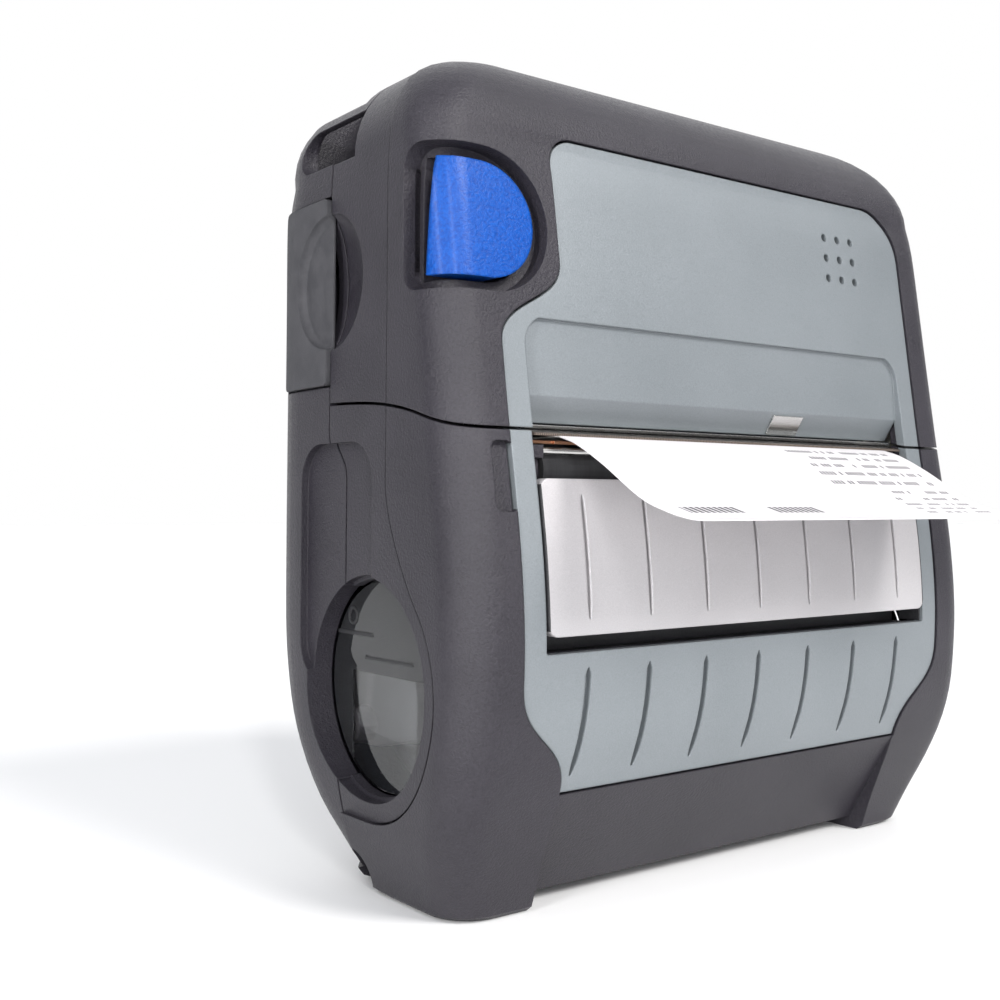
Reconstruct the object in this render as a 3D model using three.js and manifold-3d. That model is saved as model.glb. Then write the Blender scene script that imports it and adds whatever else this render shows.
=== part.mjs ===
// A rugged mobile label printer that stands on its feet: a rear housing, an upper front housing and a
// media cover that swings forward on a pin at its foot, round a roll of labels, a platen and a print head.
// Millimetres, +Z up, the front looks along -Y.
// The origin lies in the middle of the rear housing's flat foot.
import * as THREE from "three";
import { mergeVertices } from "three/addons/utils/BufferGeometryUtils.js";
import Module from "manifold-3d";

const wasm = await Module();
wasm.setup();

// Driving sizes of the case
const caseWidth = 155;
const caseHeight = 171;
const caseDepth = 79; // from the label mouth to the flat back
const mouthY = -46; // the label mouth's plane
const wall = 2.8;
const seamGap = 0.6; // open line between two mouldings
const fitGap = 0.4; // clearance round a piece set into another
const airGap = 0.3; // least clearance between two pieces
const overrun = 8; // how far a cutter runs past what it cuts
const weldGap = 0.0001; // corners closer than this are one corner

// Driving sizes of the label path
const sideX = caseWidth / 2;
const mouthMargin = 18.8;
const mouthHalf = sideX - mouthMargin;
const labelMargin = 7.9;
const labelHalf = mouthHalf - labelMargin;
const linerMargin = 7.2;
const linerHalf = mouthHalf - linerMargin;
const paperThick = 0.25;
const platenY = -36;
const platenZ = 86.4;
const platenRadius = 6;
const shaftRadius = 2.5;
const rollY = -15;
const rollZ = 40.5;
const rollRadius = 25.5;
const hingeY = -4;
const hingeZ = 4.2;

// Boxes and rods between two named planes
const box = (x0, x1, y0, y1, z0, z1) =>
  new THREE.BoxGeometry(x1 - x0, y1 - y0, z1 - z0).translate((x0 + x1) / 2, (y0 + y1) / 2, (z0 + z1) / 2);
const rodX = (y, z, r, x0, x1, sides = 24) =>
  new THREE.CylinderGeometry(r, r, x1 - x0, sides).rotateZ(Math.PI / 2).translate((x0 + x1) / 2, y, z);
const rodY = (x, z, r, y0, y1, sides = 20) =>
  new THREE.CylinderGeometry(r, r, y1 - y0, sides).translate(x, (y0 + y1) / 2, z);

// Outlines as shapes, pulled along an axis: [y, z] along X, [x, z] along Y and [x, y] along Z
function outline(points) {
  const shape = new THREE.Shape();
  points.forEach(([a, b], i) => (i ? shape.lineTo(a, b) : shape.moveTo(a, b)));
  return shape;
}
const arcSegments = 5;
function pull(points, depth, segments) {
  const shape = points instanceof THREE.Shape ? points : outline(points);
  return new THREE.ExtrudeGeometry(shape, { depth, bevelEnabled: false, curveSegments: segments });
}
const alongX = (points, x0, x1, segments = arcSegments) =>
  pull(points, x1 - x0, segments)
    .applyMatrix4(new THREE.Matrix4().set(0, 0, 1, x0, 1, 0, 0, 0, 0, 1, 0, 0, 0, 0, 0, 1));
const alongY = (points, y0, y1, segments = arcSegments) =>
  pull(points, y1 - y0, segments)
    .applyMatrix4(new THREE.Matrix4().set(1, 0, 0, 0, 0, 0, -1, y1, 0, 1, 0, 0, 0, 0, 0, 1));
const alongZ = (points, z0, z1, segments = arcSegments) =>
  pull(points, z1 - z0, segments).translate(0, 0, z0);

function roundedRect(a0, a1, b0, b1, r) {
  const s = new THREE.Shape();
  s.moveTo(a0 + r, b0);
  s.absarc(a1 - r, b0 + r, r, -Math.PI / 2, 0);
  s.absarc(a1 - r, b1 - r, r, 0, Math.PI / 2);
  s.absarc(a0 + r, b1 - r, r, Math.PI / 2, Math.PI);
  s.absarc(a0 + r, b0 + r, r, Math.PI, (3 * Math.PI) / 2);
  return s;
}

// Closed meshes as solids, joined and cut
function solid(piece) {
  if (piece instanceof wasm.Manifold) return piece;
  const bare = piece.index ? piece.toNonIndexed() : piece.clone();
  bare.deleteAttribute("normal");
  bare.deleteAttribute("uv");
  const merged = mergeVertices(bare, weldGap);
  return new wasm.Manifold(new wasm.Mesh({
    numProp: 3,
    vertProperties: merged.attributes.position.array,
    triVerts: new Uint32Array(merged.index.array),
  }));
}
const join = (...pieces) => pieces.map(solid).reduce((a, b) => a.add(b));
const cut = (body, ...tools) => tools.map(solid).reduce((a, b) => a.subtract(b), solid(body));
const common = (...pieces) => pieces.map(solid).reduce((a, b) => a.intersect(b));
const mirrorX = (piece) => solid(piece).mirror([1, 0, 0]);
const bothSides = (piece) => join(piece, mirrorX(piece));
// The largest closed body of a cut, without the slivers that two faceted skins leave between them
const largest = (piece) => solid(piece).decompose().reduce((a, b) => (b.volume() > a.volume() ? b : a));

const printer = new THREE.Group();
const finish = (color, roughness, metalness = 0) =>
  new THREE.MeshStandardMaterial({ color, roughness, metalness });
function addPart(name, piece, material) {
  const mesh = largest(piece).getMesh();
  const raw = new THREE.BufferGeometry()
    .setAttribute("position", new THREE.BufferAttribute(new Float32Array(mesh.vertProperties), mesh.numProp))
    .setIndex(new THREE.BufferAttribute(new Uint32Array(mesh.triVerts), 1));
  const geometry = mergeVertices(raw, weldGap);
  geometry.computeVertexNormals();
  const part = new THREE.Mesh(geometry, material);
  part.name = name;
  printer.add(part);
}

const charcoal = finish(0x4c4b50, 0.6);
const blackPlastic = finish(0x1c1c1f, 0.6);
const silverGrey = finish(0x9aa3ab, 0.5);
const pearlGrey = finish(0xe3e1e2, 0.5);
const buttonBlue = finish(0x0b57c6, 0.35);
const steel = finish(0xb9b9b6, 0.3, 0.95);
const copper = finish(0x9a6a48, 0.4, 0.9);
const clearPlastic = finish(0xdfe6ea, 0.08);
const blackRubber = finish(0x333336, 0.85);
const gearPlastic = finish(0xe8e6dc, 0.5);
const paper = finish(0xf6f4f5, 0.9);
const cardboard = finish(0xa58660, 0.9);
const boardGreen = finish(0x1f5b3a, 0.6);
const softGrey = finish(0x55555a, 0.85);
const lampGreen = finish(0x5fcf6a, 0.3);

// The case's form: how its faces run with height, as [share of the height, share of the size]
const frontShares = [ // behind the mouth's plane, in shares of the depth
  [0, 0.115], [0.05, 0.078], [0.1, 0.034], [0.15, -0.008], [0.205, -0.039], [0.27, -0.054], [0.33, -0.057],
  [0.41, -0.045], [0.49, -0.021], [0.55, 0], [0.65, 0.03], [0.76, 0.062], [0.845, 0.088], [0.88, 0.105],
];
const backShares = [
  [0, 0.7], [0.05, 0.77], [0.1, 0.845], [0.16, 0.915], [0.22, 0.965], [0.28, 0.992], [0.34, 1], [0.6, 1],
  [0.8, 1], [0.845, 0.993], [0.88, 0.975],
];
const halfWidthShares = [ // in shares of half the width
  [0, 0.9], [0.04, 0.932], [0.1, 0.976], [0.17, 0.998], [0.25, 1], [0.55, 0.994], [0.7, 0.99], [0.845, 0.987],
  [0.88, 0.982],
];
const crownShare = 0.88; // the round crown starts here
const crownRound = caseHeight * (1 - crownShare);
const crownZ = caseHeight * crownShare;
const frontCornerRadius = 9;
const backCornerRadius = 20;
const crownCornerRadius = 12;
const leastRadius = 1;
const footRound = 1.2;
const cornerSteps = 3;

// A smooth curve through a table of shares
function along(table, share) {
  const last = table.length - 1;
  if (share <= table[0][0]) return table[0][1];
  if (share >= table[last][0]) return table[last][1];
  const i = table.findIndex(([s]) => s > share);
  const [s0, v0] = table[i - 1];
  const [s1, v1] = table[i];
  const [sBefore, vBefore] = table[Math.max(0, i - 2)];
  const [sAfter, vAfter] = table[Math.min(last, i + 1)];
  const slope0 = ((v1 - vBefore) / (s1 - sBefore)) * (s1 - s0);
  const slope1 = ((vAfter - v0) / (sAfter - s0)) * (s1 - s0);
  const t = (share - s0) / (s1 - s0);
  const rise = t * t * (3 - 2 * t);
  return v0 + (v1 - v0) * rise + t * (1 - t) * ((1 - t) * slope0 - t * slope1);
}
const frontAt = (z) => mouthY + caseDepth * along(frontShares, z / caseHeight);
const backAt = (z) => mouthY + caseDepth * along(backShares, z / caseHeight);
const halfWidthAt = (z) => (caseWidth / 2) * along(halfWidthShares, z / caseHeight);

// One rounded slice of the case at height z, its sides drawn in by inset
function slice(z, inset) {
  const rise = Math.min(1, Math.max(0, (z - crownZ) / crownRound));
  const foot = Math.max(0, footRound - z);
  const drawn = crownRound * (1 - Math.sqrt(1 - rise * rise)) + inset + foot;
  const level = Math.min(z, crownZ);
  const x = halfWidthAt(level) - drawn;
  const y0 = frontAt(level) + drawn;
  const y1 = backAt(level) - drawn;
  const corner = (radius) => Math.max(leastRadius, radius + (crownCornerRadius - radius) * rise - inset);
  const front = corner(frontCornerRadius);
  const back = corner(backCornerRadius);
  const corners = [[x - back, y1 - back, back], [back - x, y1 - back, back],
    [front - x, y0 + front, front], [x - front, y0 + front, front]];
  const points = [];
  corners.forEach(([cx, cy, r], quarter) => {
    for (let i = 0; i <= cornerSteps; i++) {
      const angle = (quarter + i / cornerSteps) * (Math.PI / 2);
      points.push([cx + r * Math.cos(angle), cy + r * Math.sin(angle)]);
    }
  });
  return points;
}

// The whole case as one closed loft, its faces drawn in by inset all round
const bodyLevelShares = [0, 0.007, 0.05, 0.11, 0.18, 0.27, 0.38, 0.5, 0.7, 0.88];
const crownLevelShares = [0.35, 0.65, 0.87, 0.98, 1];
function caseForm(inset) {
  const span = caseHeight - 2 * inset;
  const levelShares = [...bodyLevelShares, ...crownLevelShares.map((s) => crownShare + (1 - crownShare) * s)];
  const rings = levelShares.map((s) => slice(s * caseHeight, inset)
    .map(([x, y]) => [x, y, inset + span * s]));
  const n = rings[0].length;
  const top = (rings.length - 1) * n;
  const position = rings.flat(2);
  const middle = (ring) => [0, (ring[0][1] + ring[n - 1][1]) / 2, ring[0][2]];
  position.push(...middle(rings[0]), ...middle(rings[rings.length - 1]));
  const footCentre = top + n;
  const topCentre = footCentre + 1;
  const index = [];
  for (let i = 0; i < n; i++) {
    const j = (i + 1) % n;
    index.push(footCentre, j, i, topCentre, top + i, top + j);
    for (let k = 0; k < top; k += n) index.push(k + i, k + j, k + n + j, k + i, k + n + j, k + n + i);
  }
  const form = new THREE.BufferGeometry();
  form.setAttribute("position", new THREE.BufferAttribute(new Float32Array(position), 3));
  form.setIndex(index);
  return solid(form);
}

// Planes well clear of the case, for cutters
const farX = caseWidth / 2 + overrun;
const nearY = mouthY - 2 * overrun;
const farY = mouthY + caseDepth + overrun;
const lowZ = -overrun;
const highZ = caseHeight + overrun;
// What lies deeper than depth under the case's skin, and a cutter that stops at that depth
const within = caseForm;
const downTo = (depth, ...tools) => cut(join(...tools), within(depth));

const skin = within(0);
const hollow = within(wall);
const shell = cut(skin, hollow);
const core = within(wall / 2); // pads and ribs join the shell inside its wall

// Where the three mouldings meet, as [y, z] lines seen from the side
const sideSeamY = -0.5;
const crownSeamY = -9;
const strapSillZ = 151;
const mouthZ = 93.8; // the seam over the label mouth
const shoulderZ = 100.5; // here it ends at the side seam
const shoulderShares = [ // [share back, share up] of that climb
  [0.066, 0.075], [0.176, 0.254], [0.308, 0.507], [0.44, 0.73], [0.571, 0.866], [0.791, 0.97], [1, 1],
];
const neckY = -5.5; // behind the window's column the seam steps forward
const neckTopZ = 88;
const neckRound = 5;
const footSeamY = -3.5;
const footSeamTopZ = 60;
const hingeReach = 1;
const coverTopLine = [
  [nearY, mouthZ], [mouthY, mouthZ],
  ...shoulderShares.map(([y, z]) => [
    mouthY + (sideSeamY - seamGap - mouthY) * y, mouthZ + (shoulderZ - mouthZ) * z,
  ]),
];
const halfGap = seamGap / 2;
const rearRegion = alongX([
  [hingeY + hingeReach, lowZ], [farY, lowZ], [farY, highZ], [crownSeamY, highZ], [crownSeamY, strapSillZ],
  [sideSeamY, strapSillZ], [sideSeamY, neckTopZ + neckRound], [neckY + seamGap, neckTopZ],
  [neckY + seamGap, footSeamTopZ], [footSeamY, rollZ], [footSeamY, hingeZ], [hingeY + hingeReach, hingeZ],
], -farX, farX);
const upperRegion = alongX([
  ...coverTopLine.map(([y, z]) => [y, z + halfGap]), [sideSeamY - seamGap, strapSillZ - seamGap],
  [crownSeamY - seamGap, strapSillZ - seamGap],
  [crownSeamY - seamGap, highZ], [nearY, highZ],
], -farX, farX);
const coverRegion = alongX([
  [nearY, lowZ], [hingeY + hingeReach - seamGap, lowZ], [hingeY + hingeReach - seamGap, hingeZ],
  [footSeamY - seamGap, hingeZ], [footSeamY - seamGap, rollZ], [neckY, footSeamTopZ], [neckY, neckTopZ],
  [sideSeamY - seamGap, neckTopZ + neckRound],
  ...coverTopLine.map(([y, z]) => [y, z - halfGap]).reverse(),
], -farX, farX);

// Behind the front bumper's line every face lies a step lower
const bumperStep = 0.7;
const bumperY = -24.2;
const windowY = -14.6;
const windowZ = 43.2;
const rimRadius = 22.5;
const beltRadius = rimRadius + 4.1; // the bumper's line runs round the window at this distance
const beltTurn = (7 * Math.PI) / 9; // it leaves the circle at this angle
const bumperTurnZ = 84; // and is upright from here
const bumperBendZ = 73.2;
const bumperFootZ = 3;
const bumperRegion = new THREE.Shape();
bumperRegion.moveTo(bumperY, highZ);
bumperRegion.lineTo(bumperY, bumperTurnZ);
bumperRegion.quadraticCurveTo(bumperY, bumperBendZ, windowY + beltRadius * Math.cos(beltTurn),
  windowZ + beltRadius * Math.sin(beltTurn));
bumperRegion.absarc(windowY, windowZ, beltRadius, beltTurn, (3 * Math.PI) / 2);
bumperRegion.lineTo(footSeamY - halfGap, windowZ - beltRadius);
bumperRegion.lineTo(footSeamY - halfGap, bumperFootZ);
bumperRegion.lineTo(farY, bumperFootZ);
bumperRegion.lineTo(farY, highZ);
const bumperCut = downTo(bumperStep, alongX(bumperRegion, -farX, farX));

// A shallow column runs from the seam down into each window
const columnFrontY = -18;
const columnBackY = 11;
const columnTopZ = 92.5;
const columnRound = 8;
const columnDepth = 1.7;
const columnCut = downTo(columnDepth, alongX(
  roundedRect(columnFrontY, columnBackY, windowZ, columnTopZ, columnRound), -farX, farX));

// Each window is a round dish with a clear lens in its floor
const dishDepth = 4.4;
const dishFloorX = sideX - dishDepth;
const dishThick = 2.4;
const lensY = -14.3;
const lensZ = 43.2;
const lensRadius = 21.3;
const rimSides = 36;
const dishPad = common(core, bothSides(
  rodX(windowY, windowZ, rimRadius + wall, dishFloorX - dishThick, farX, rimSides)));
const dishCut = bothSides(rodX(windowY, windowZ, rimRadius, dishFloorX, farX, rimSides));
const dishBackX = dishFloorX - dishThick - overrun;
const dishThrough = bothSides(rodX(windowY, windowZ, rimRadius, dishBackX, farX, rimSides));
const lensHole = bothSides(rodX(lensY, lensZ, lensRadius + fitGap, dishBackX, farX, rimSides));

// A finger scoop straddles the side seam level with the port flap
const scoopZ = 126;
const scoopHeight = 14.5;
const scoopReach = 13.5;
const scoopDepth = 5;
const scoopAt = (grow) => new THREE.SphereGeometry(1, 24, 14)
  .scale(scoopDepth + grow, scoopReach + grow, scoopHeight + grow)
  .rotateX(Math.PI)
  .translate(-halfWidthAt(scoopZ), sideSeamY, scoopZ);
const scoop = scoopAt(0);
const scoopCup = common(core, scoopAt(wall));

// The front panels lie in pockets of the housings, each pocket with a thin backing
const panelSet = 0.4; // behind the housings' faces
const panelThick = 2.2;
const pocketDepth = panelSet + panelThick + fitGap;
const backingThick = 1.6;
const backingRim = 3;
const panelMargin = 14;
const panelHalf = sideX - panelMargin;
const panelFootMargin = 25.7;
const panelFootHalf = sideX - panelFootMargin;
const panelFootZ = 24.9;
const hipZ = 46; // the lower panel has its full width over this
const panelTopZ = 152.5;
const panelRound = 12;
const panelLeftMargin = 29.9;
const panelLeftX = panelLeftMargin - sideX; // beside the button
const waistZ = 127; // under the button the panel widens from here
const waistDrop = 17;
const tipRound = 6;
function upperPanelOutline(grow) {
  const s = new THREE.Shape();
  const right = panelHalf + grow;
  const left = panelLeftX - grow;
  const top = panelTopZ + grow;
  s.moveTo(-right, mouthZ - overrun);
  s.lineTo(right, mouthZ - overrun);
  s.absarc(right - panelRound, top - panelRound, panelRound, 0, Math.PI / 2);
  s.absarc(left + tipRound, top - tipRound, tipRound, Math.PI / 2, Math.PI);
  s.lineTo(left, waistZ + grow);
  s.bezierCurveTo(left, waistZ - waistDrop / 2 + grow, -right, waistZ - waistDrop / 2 + grow,
    -right, waistZ - waistDrop + grow);
  return s;
}
function lowerPanelOutline(grow) {
  const s = new THREE.Shape();
  const side = panelHalf + grow;
  const foot = panelFootHalf + grow;
  const turn = (hipZ - panelFootZ) / 2;
  s.moveTo(-foot, panelFootZ - grow);
  s.lineTo(foot, panelFootZ - grow);
  s.bezierCurveTo(foot, panelFootZ + turn, side, hipZ - turn, side, hipZ);
  s.lineTo(side, mouthZ + overrun);
  s.lineTo(-side, mouthZ + overrun);
  s.lineTo(-side, hipZ);
  s.bezierCurveTo(-side, hipZ - turn, -foot, panelFootZ + turn, -foot, panelFootZ - grow);
  return s;
}
const panelReachY = mouthY + overrun * 2;
const pocket = (shape) => downTo(pocketDepth, alongY(shape, nearY, panelReachY));
const backing = (shape) =>
  common(cut(within(wall - panelSet), within(pocketDepth + backingThick)), alongY(shape, nearY, panelReachY));
const panelSkin = cut(within(panelSet), within(panelSet + panelThick));

// The release button: a D seen from the front that wraps round the left front corner
const buttonReach = 24.5;
const buttonTipX = buttonReach - sideX;
const buttonFootZ = 122.2;
const buttonTopZ = 145.3;
const buttonSink = 1.1;
const buttonBackY = -35.3;
const buttonTravel = 4;
const wellMargin = 2.6;
const wellDepth = 3.4;
const wellBackY = -29.6;
const cupMargin = 4.6;
const stemMargin = 9;
const stemX = stemMargin - sideX;
const stemRadius = 2.5;
const stemBackY = -27;
const buttonZ = (buttonFootZ + buttonTopZ) / 2;
const buttonRound = (buttonTopZ - buttonFootZ) / 2;
function buttonOutline(grow) {
  const r = buttonRound + grow;
  const s = new THREE.Shape();
  s.moveTo(-farX, buttonZ - r);
  s.lineTo(buttonTipX - buttonRound, buttonZ - r);
  s.absarc(buttonTipX - buttonRound, buttonZ, r, -Math.PI / 2, Math.PI / 2);
  s.lineTo(-farX, buttonZ + r);
  return s;
}

// The speaker's holes in the upper panel
const speakerMargin = 22.6;
const speakerX = panelHalf - speakerMargin;
const speakerZ = 138.4;
const speakerPitch = 4.9;
const speakerHoleRadius = 0.9;
const speakerRadius = 9.5;
const speakerThick = 5;
const speakerRim = 1.2;
const gridSteps = [-1, 0, 1];
const speakerHoles = gridSteps.flatMap((i) => gridSteps.map((j) => rodY(speakerX + i * speakerPitch,
  speakerZ + j * speakerPitch, speakerHoleRadius, nearY, panelReachY, 10)));

// The lip over the label mouth, as a [y, z] outline
const lipMargin = 0.7;
const lipHalf = mouthHalf - lipMargin;
const lipTopZ = 115.5;
const lipFootZ = 100.6;
const lipFootY = -42.8;
const lipStep = 0.9;
const throatY = -39.4;
const throatZ = 95.1;
const throatBackY = -38.2;
const lipLine = [
  [frontAt(lipTopZ) + panelSet + lipStep, lipTopZ], [lipFootY, lipFootZ], [throatY, throatZ],
];

const upperHousing = (() => {
  const well = alongY(buttonOutline(wellMargin), nearY, wellBackY);
  const cup = common(core, alongY(buttonOutline(cupMargin), nearY, wellBackY));
  const hole = alongY(buttonOutline(fitGap), nearY, buttonBackY + buttonTravel + fitGap);
  const stemHole = rodY(stemX, buttonZ, stemRadius + fitGap, buttonBackY, wellBackY + overrun);
  const mouthCut = box(-mouthHalf, mouthHalf, nearY, panelReachY, mouthZ - overrun, lipTopZ);
  const speakerMouth = rodY(speakerX, speakerZ, speakerRadius - speakerRim, nearY, panelReachY);
  return common(upperRegion, cut(
    join(shell, cup, scoopCup, backing(upperPanelOutline(backingRim))),
    pocket(upperPanelOutline(fitGap)), mouthCut, speakerMouth, bumperCut, downTo(wellDepth, well),
    hole, stemHole, scoop,
  ));
})();

const upperPanel = (() => {
  const lipFront = alongX([
    ...lipLine, [throatY, mouthZ - overrun], [nearY, mouthZ - overrun], [nearY, lipTopZ],
  ], -lipHalf, lipHalf);
  const lip = alongX([
    ...lipLine, [throatBackY, throatZ], [frontAt(lipTopZ) + panelSet + panelThick, lipTopZ],
  ], -lipHalf, lipHalf);
  const face = common(panelSkin, alongY(upperPanelOutline(0), nearY, panelReachY), upperRegion);
  const under = box(-lipHalf, lipHalf, nearY, panelReachY, mouthZ - overrun, lipFootZ);
  return cut(join(cut(face, lipFront, under), lip), ...speakerHoles);
})();

const releaseButton = (() => {
  const cap = common(within(buttonSink), alongY(buttonOutline(0), nearY, buttonBackY));
  return join(cap, rodY(stemX, buttonZ, stemRadius, buttonBackY - stemRadius, stemBackY));
})();

addPart("upper_housing", upperHousing, charcoal);
addPart("upper_panel", upperPanel, silverGrey);
addPart("release_button", releaseButton, buttonBlue);

// Strap openings go in at each side and out over the crown, with an arch of the rear housing round them
const strapReach = 19.5;
const strapInnerX = sideX - strapReach;
const strapBackY = 14;
const strapTopZ = 160.5;
const strapArch = 5;
const strapPocket = (() => {
  const footZ = strapSillZ - halfGap;
  const side = box(strapInnerX, farX, crownSeamY - overrun, strapBackY, footZ, strapTopZ);
  const upX = halfWidthAt(crownZ) - crownRound / 2 - strapArch / 2;
  const up = box(strapInnerX, upX, crownSeamY + wall, strapBackY + wall, footZ + halfGap, highZ);
  return bothSides(join(side, up));
})();
const strapSleeve = common(core, bothSides(
  box(strapInnerX - wall, farX, crownSeamY - overrun, strapBackY + 2 * wall, strapSillZ - wall, highZ)));

// The port bay on the left side and the rubber flap that closes it
const flapFootZ = 104.6;
const flapTopZ = 143.6;
const flapFrontY = sideSeamY + halfGap;
const flapBackY = 19.4;
const flapThick = 2.2;
const flapNotchY = 4; // a shallow recess in the flap's front edge goes on from the scoop
const flapNotchRound = 3.5;
const bayDeep = 7.5;
const bayFloorX = bayDeep - sideX;
const bayWall = 2.2;
const bayRim = 3;
const portBay = common(core, box(-farX, bayFloorX + bayWall, flapFrontY, flapBackY + bayWall,
  flapFootZ - bayWall, flapTopZ + bayWall));
const portHollow = box(-farX, bayFloorX, flapFrontY + bayRim, flapBackY - bayRim, flapFootZ + bayRim,
  flapTopZ - bayRim);
const flapSeat = downTo(flapThick + fitGap,
  box(-farX, 0, flapFrontY - seamGap, flapBackY + fitGap, flapFootZ - fitGap, flapTopZ + fitGap));
const usbY = 8;
const usbZ = 115;
const usbDeep = 10; // sizes along X, Y and Z
const usbWide = 8;
const usbTall = 6;
const jackY = 8;
const jackZ = 134;
const jackRadius = 4.5;
const jackPinRadius = 1.2;
const jackBore = 3;
const portFrontX = bayFloorX + airGap;
const portBox = (grow) => box(portFrontX - grow, portFrontX + usbDeep, usbY - usbWide / 2 - grow,
  usbY + usbWide / 2 + grow, usbZ - usbTall / 2 - grow, usbZ + usbTall / 2 + grow);

// The battery's tray in the back, with its latch over it
const backY = mouthY + caseDepth - bumperStep;
const batteryMargin = 38.5;
const batteryHalf = sideX - batteryMargin;
const batteryFootZ = 67;
const batteryTopZ = 140;
const batteryFrontY = 12;
const batteryRound = 2;
const trayWall = 2;
const batteryBox = (grow, toY) => alongY(
  roundedRect(-batteryHalf - grow, batteryHalf + grow, batteryFootZ - grow, batteryTopZ + grow,
    batteryRound + grow),
  batteryFrontY - grow, toY);
const latchHalf = 10;
const latchFootZ = batteryTopZ + fitGap;
const latchTopZ = 149;
const latchTravel = 2.5;
const latchThick = 3.6;
const latchPocket = box(-latchHalf - fitGap, latchHalf + fitGap, backY - latchThick - fitGap, farY,
  batteryTopZ, latchTopZ + latchTravel + fitGap);
const contactHalf = 12;
const contactZ = 106;
const contactTall = 6;
const contactWindow = box(-contactHalf - fitGap, contactHalf + fitGap,
  batteryFrontY - fitGap - trayWall - overrun, batteryFrontY,
  contactZ - contactTall / 2 - fitGap, contactZ + contactTall / 2 + fitGap);

// Four screws hold the rear housing from behind
const screwMargin = 26.5;
const screwX = sideX - screwMargin;
const screwLowZ = 60;
const screwHighZ = 136;
const screwPlaces = [[-screwX, screwLowZ], [screwX, screwLowZ], [-screwX, screwHighZ], [screwX, screwHighZ]];
const screwHeadRadius = 2.6;
const screwHeadThick = 1.6;
const screwSink = 0.6;
const screwRadius = 1.3;
const screwLong = 8;
const bossRadius = 4.4;
const bossLong = 9;
const screwSlot = 0.7;
const screwSlotDeep = 0.8;
const screwBosses = screwPlaces.map(([x, z]) => rodY(x, z, bossRadius, backY - bossLong, backY - bumperStep));
const screwHoles = screwPlaces.flatMap(([x, z]) => [
  rodY(x, z, screwRadius + airGap, backY - bossLong - wall, farY),
  rodY(x, z, screwHeadRadius + airGap, backY - screwSink - screwHeadThick - airGap, farY),
]);

// Keys and the status lamp on the flat of the crown
const crownTopZ = caseHeight - bumperStep;
const keyY = 1;
const keyWide = 12;
const keyLong = 8;
const keyRound = 3;
const keyPitch = 18;
const keyProud = 1;
const keySkirt = 6;
const lampX = 0;
const lampWide = 4;
const lampLong = 8;
const keyAt = (x, grow, z0, z1) => alongZ(roundedRect(x - keyWide / 2 - grow, x + keyWide / 2 + grow,
  keyY - keyLong / 2 - grow, keyY + keyLong / 2 + grow, keyRound + grow), z0, z1, 4);
const lampAt = (grow, z0, z1) => box(lampX - lampWide / 2 - grow, lampX + lampWide / 2 + grow,
  keyY - lampLong / 2 - grow, keyY + lampLong / 2 + grow, z0, z1);

// The cover's hinge: a pin through knuckles of the cover and, inside them, of the rear housing
const hingePinRadius = 1.5;
const knuckleRadius = 3.5;
const hingePinMargin = 13.5;
const hingePinHalf = sideX - hingePinMargin;
const coverKnuckleReach = 21.5;
const coverKnuckle0 = sideX - coverKnuckleReach;
const coverKnuckleMargin = 14.5;
const coverKnuckle1 = sideX - coverKnuckleMargin;
const rearKnuckleReach = 31.5;
const rearKnuckle0 = sideX - rearKnuckleReach;
const rearKnuckle1 = coverKnuckle0 - airGap;
const knuckleWeb = 3;
const notchRadius = hingeZ + seamGap;
const hingeNotch = rodX(hingeY, hingeZ, notchRadius, -farX, farX, 32);
// Clear of the open cover
const footNotch = bothSides(
  box(panelFootHalf - fitGap, farX, hingeY, hingeY + notchRadius, lowZ, hingeZ));
const hingeBore = rodX(hingeY, hingeZ, hingePinRadius + airGap, -farX, farX);
const knuckle = (x0, x1, y0, y1) => bothSides(join(
  rodX(hingeY, hingeZ, knuckleRadius, x0, x1),
  box(x0, x1, y0, y1, hingeZ - knuckleRadius, hingeZ - knuckleRadius + knuckleWeb),
));

// Ribs of the rear housing that carry the inner frame
const frameMargin = 12.3;
const frameOuterX = sideX - frameMargin;
const ribFootZ = 70;
const ribThick = 4;
const ribFrontY = 2;
const ribBackY = 10;
const frameRibs = common(core, bothSides(
  box(frameOuterX + airGap, farX, ribFrontY, ribBackY, ribFootZ, ribFootZ + ribThick)));

const rearHousing = (() => {
  const tray = batteryBox(fitGap + trayWall, backY - bumperStep);
  const keyHoles = [-keyPitch, keyPitch].map((x) => keyAt(x, fitGap, crownTopZ - wall - overrun, highZ));
  const jackHole = rodX(jackY, jackZ, jackRadius + airGap, bayFloorX - overrun, bayFloorX + overrun);
  const portHoles = join(portBox(airGap), jackHole);
  const body = cut(
    common(rearRegion, join(cut(shell, bumperCut), dishPad, strapSleeve, portBay, scoopCup, frameRibs)),
    columnCut, dishThrough, strapPocket, portHollow, flapSeat, hingeNotch, footNotch, scoop,
  );
  const solidBody = join(largest(body), tray, ...screwBosses,
    knuckle(rearKnuckle0, rearKnuckle1, hingeY, hingeY + 2 * notchRadius));
  return cut(solidBody, batteryBox(fitGap, farY), latchPocket, contactWindow, ...screwHoles, ...keyHoles,
    lampAt(fitGap, crownTopZ - wall - overrun, highZ), portHoles, hingeBore);
})();

const portFlap = cut(
  common(cut(skin, within(flapThick)), box(-farX, 0, flapFrontY, flapBackY, flapFootZ, flapTopZ)),
  downTo(flapThick / 2, alongX(roundedRect(flapFrontY - overrun, flapNotchY, scoopZ - scoopHeight,
    scoopZ + scoopHeight, flapNotchRound), -farX, 0)),
);

const batteryPack = (() => {
  const pack = common(batteryBox(0, farY), within(bumperStep));
  const grip = box(-batteryHalf / 2, batteryHalf / 2, backY - latchThick / 2, farY, batteryFootZ - overrun,
    batteryFootZ + latchThick);
  return cut(pack, grip);
})();

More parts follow.
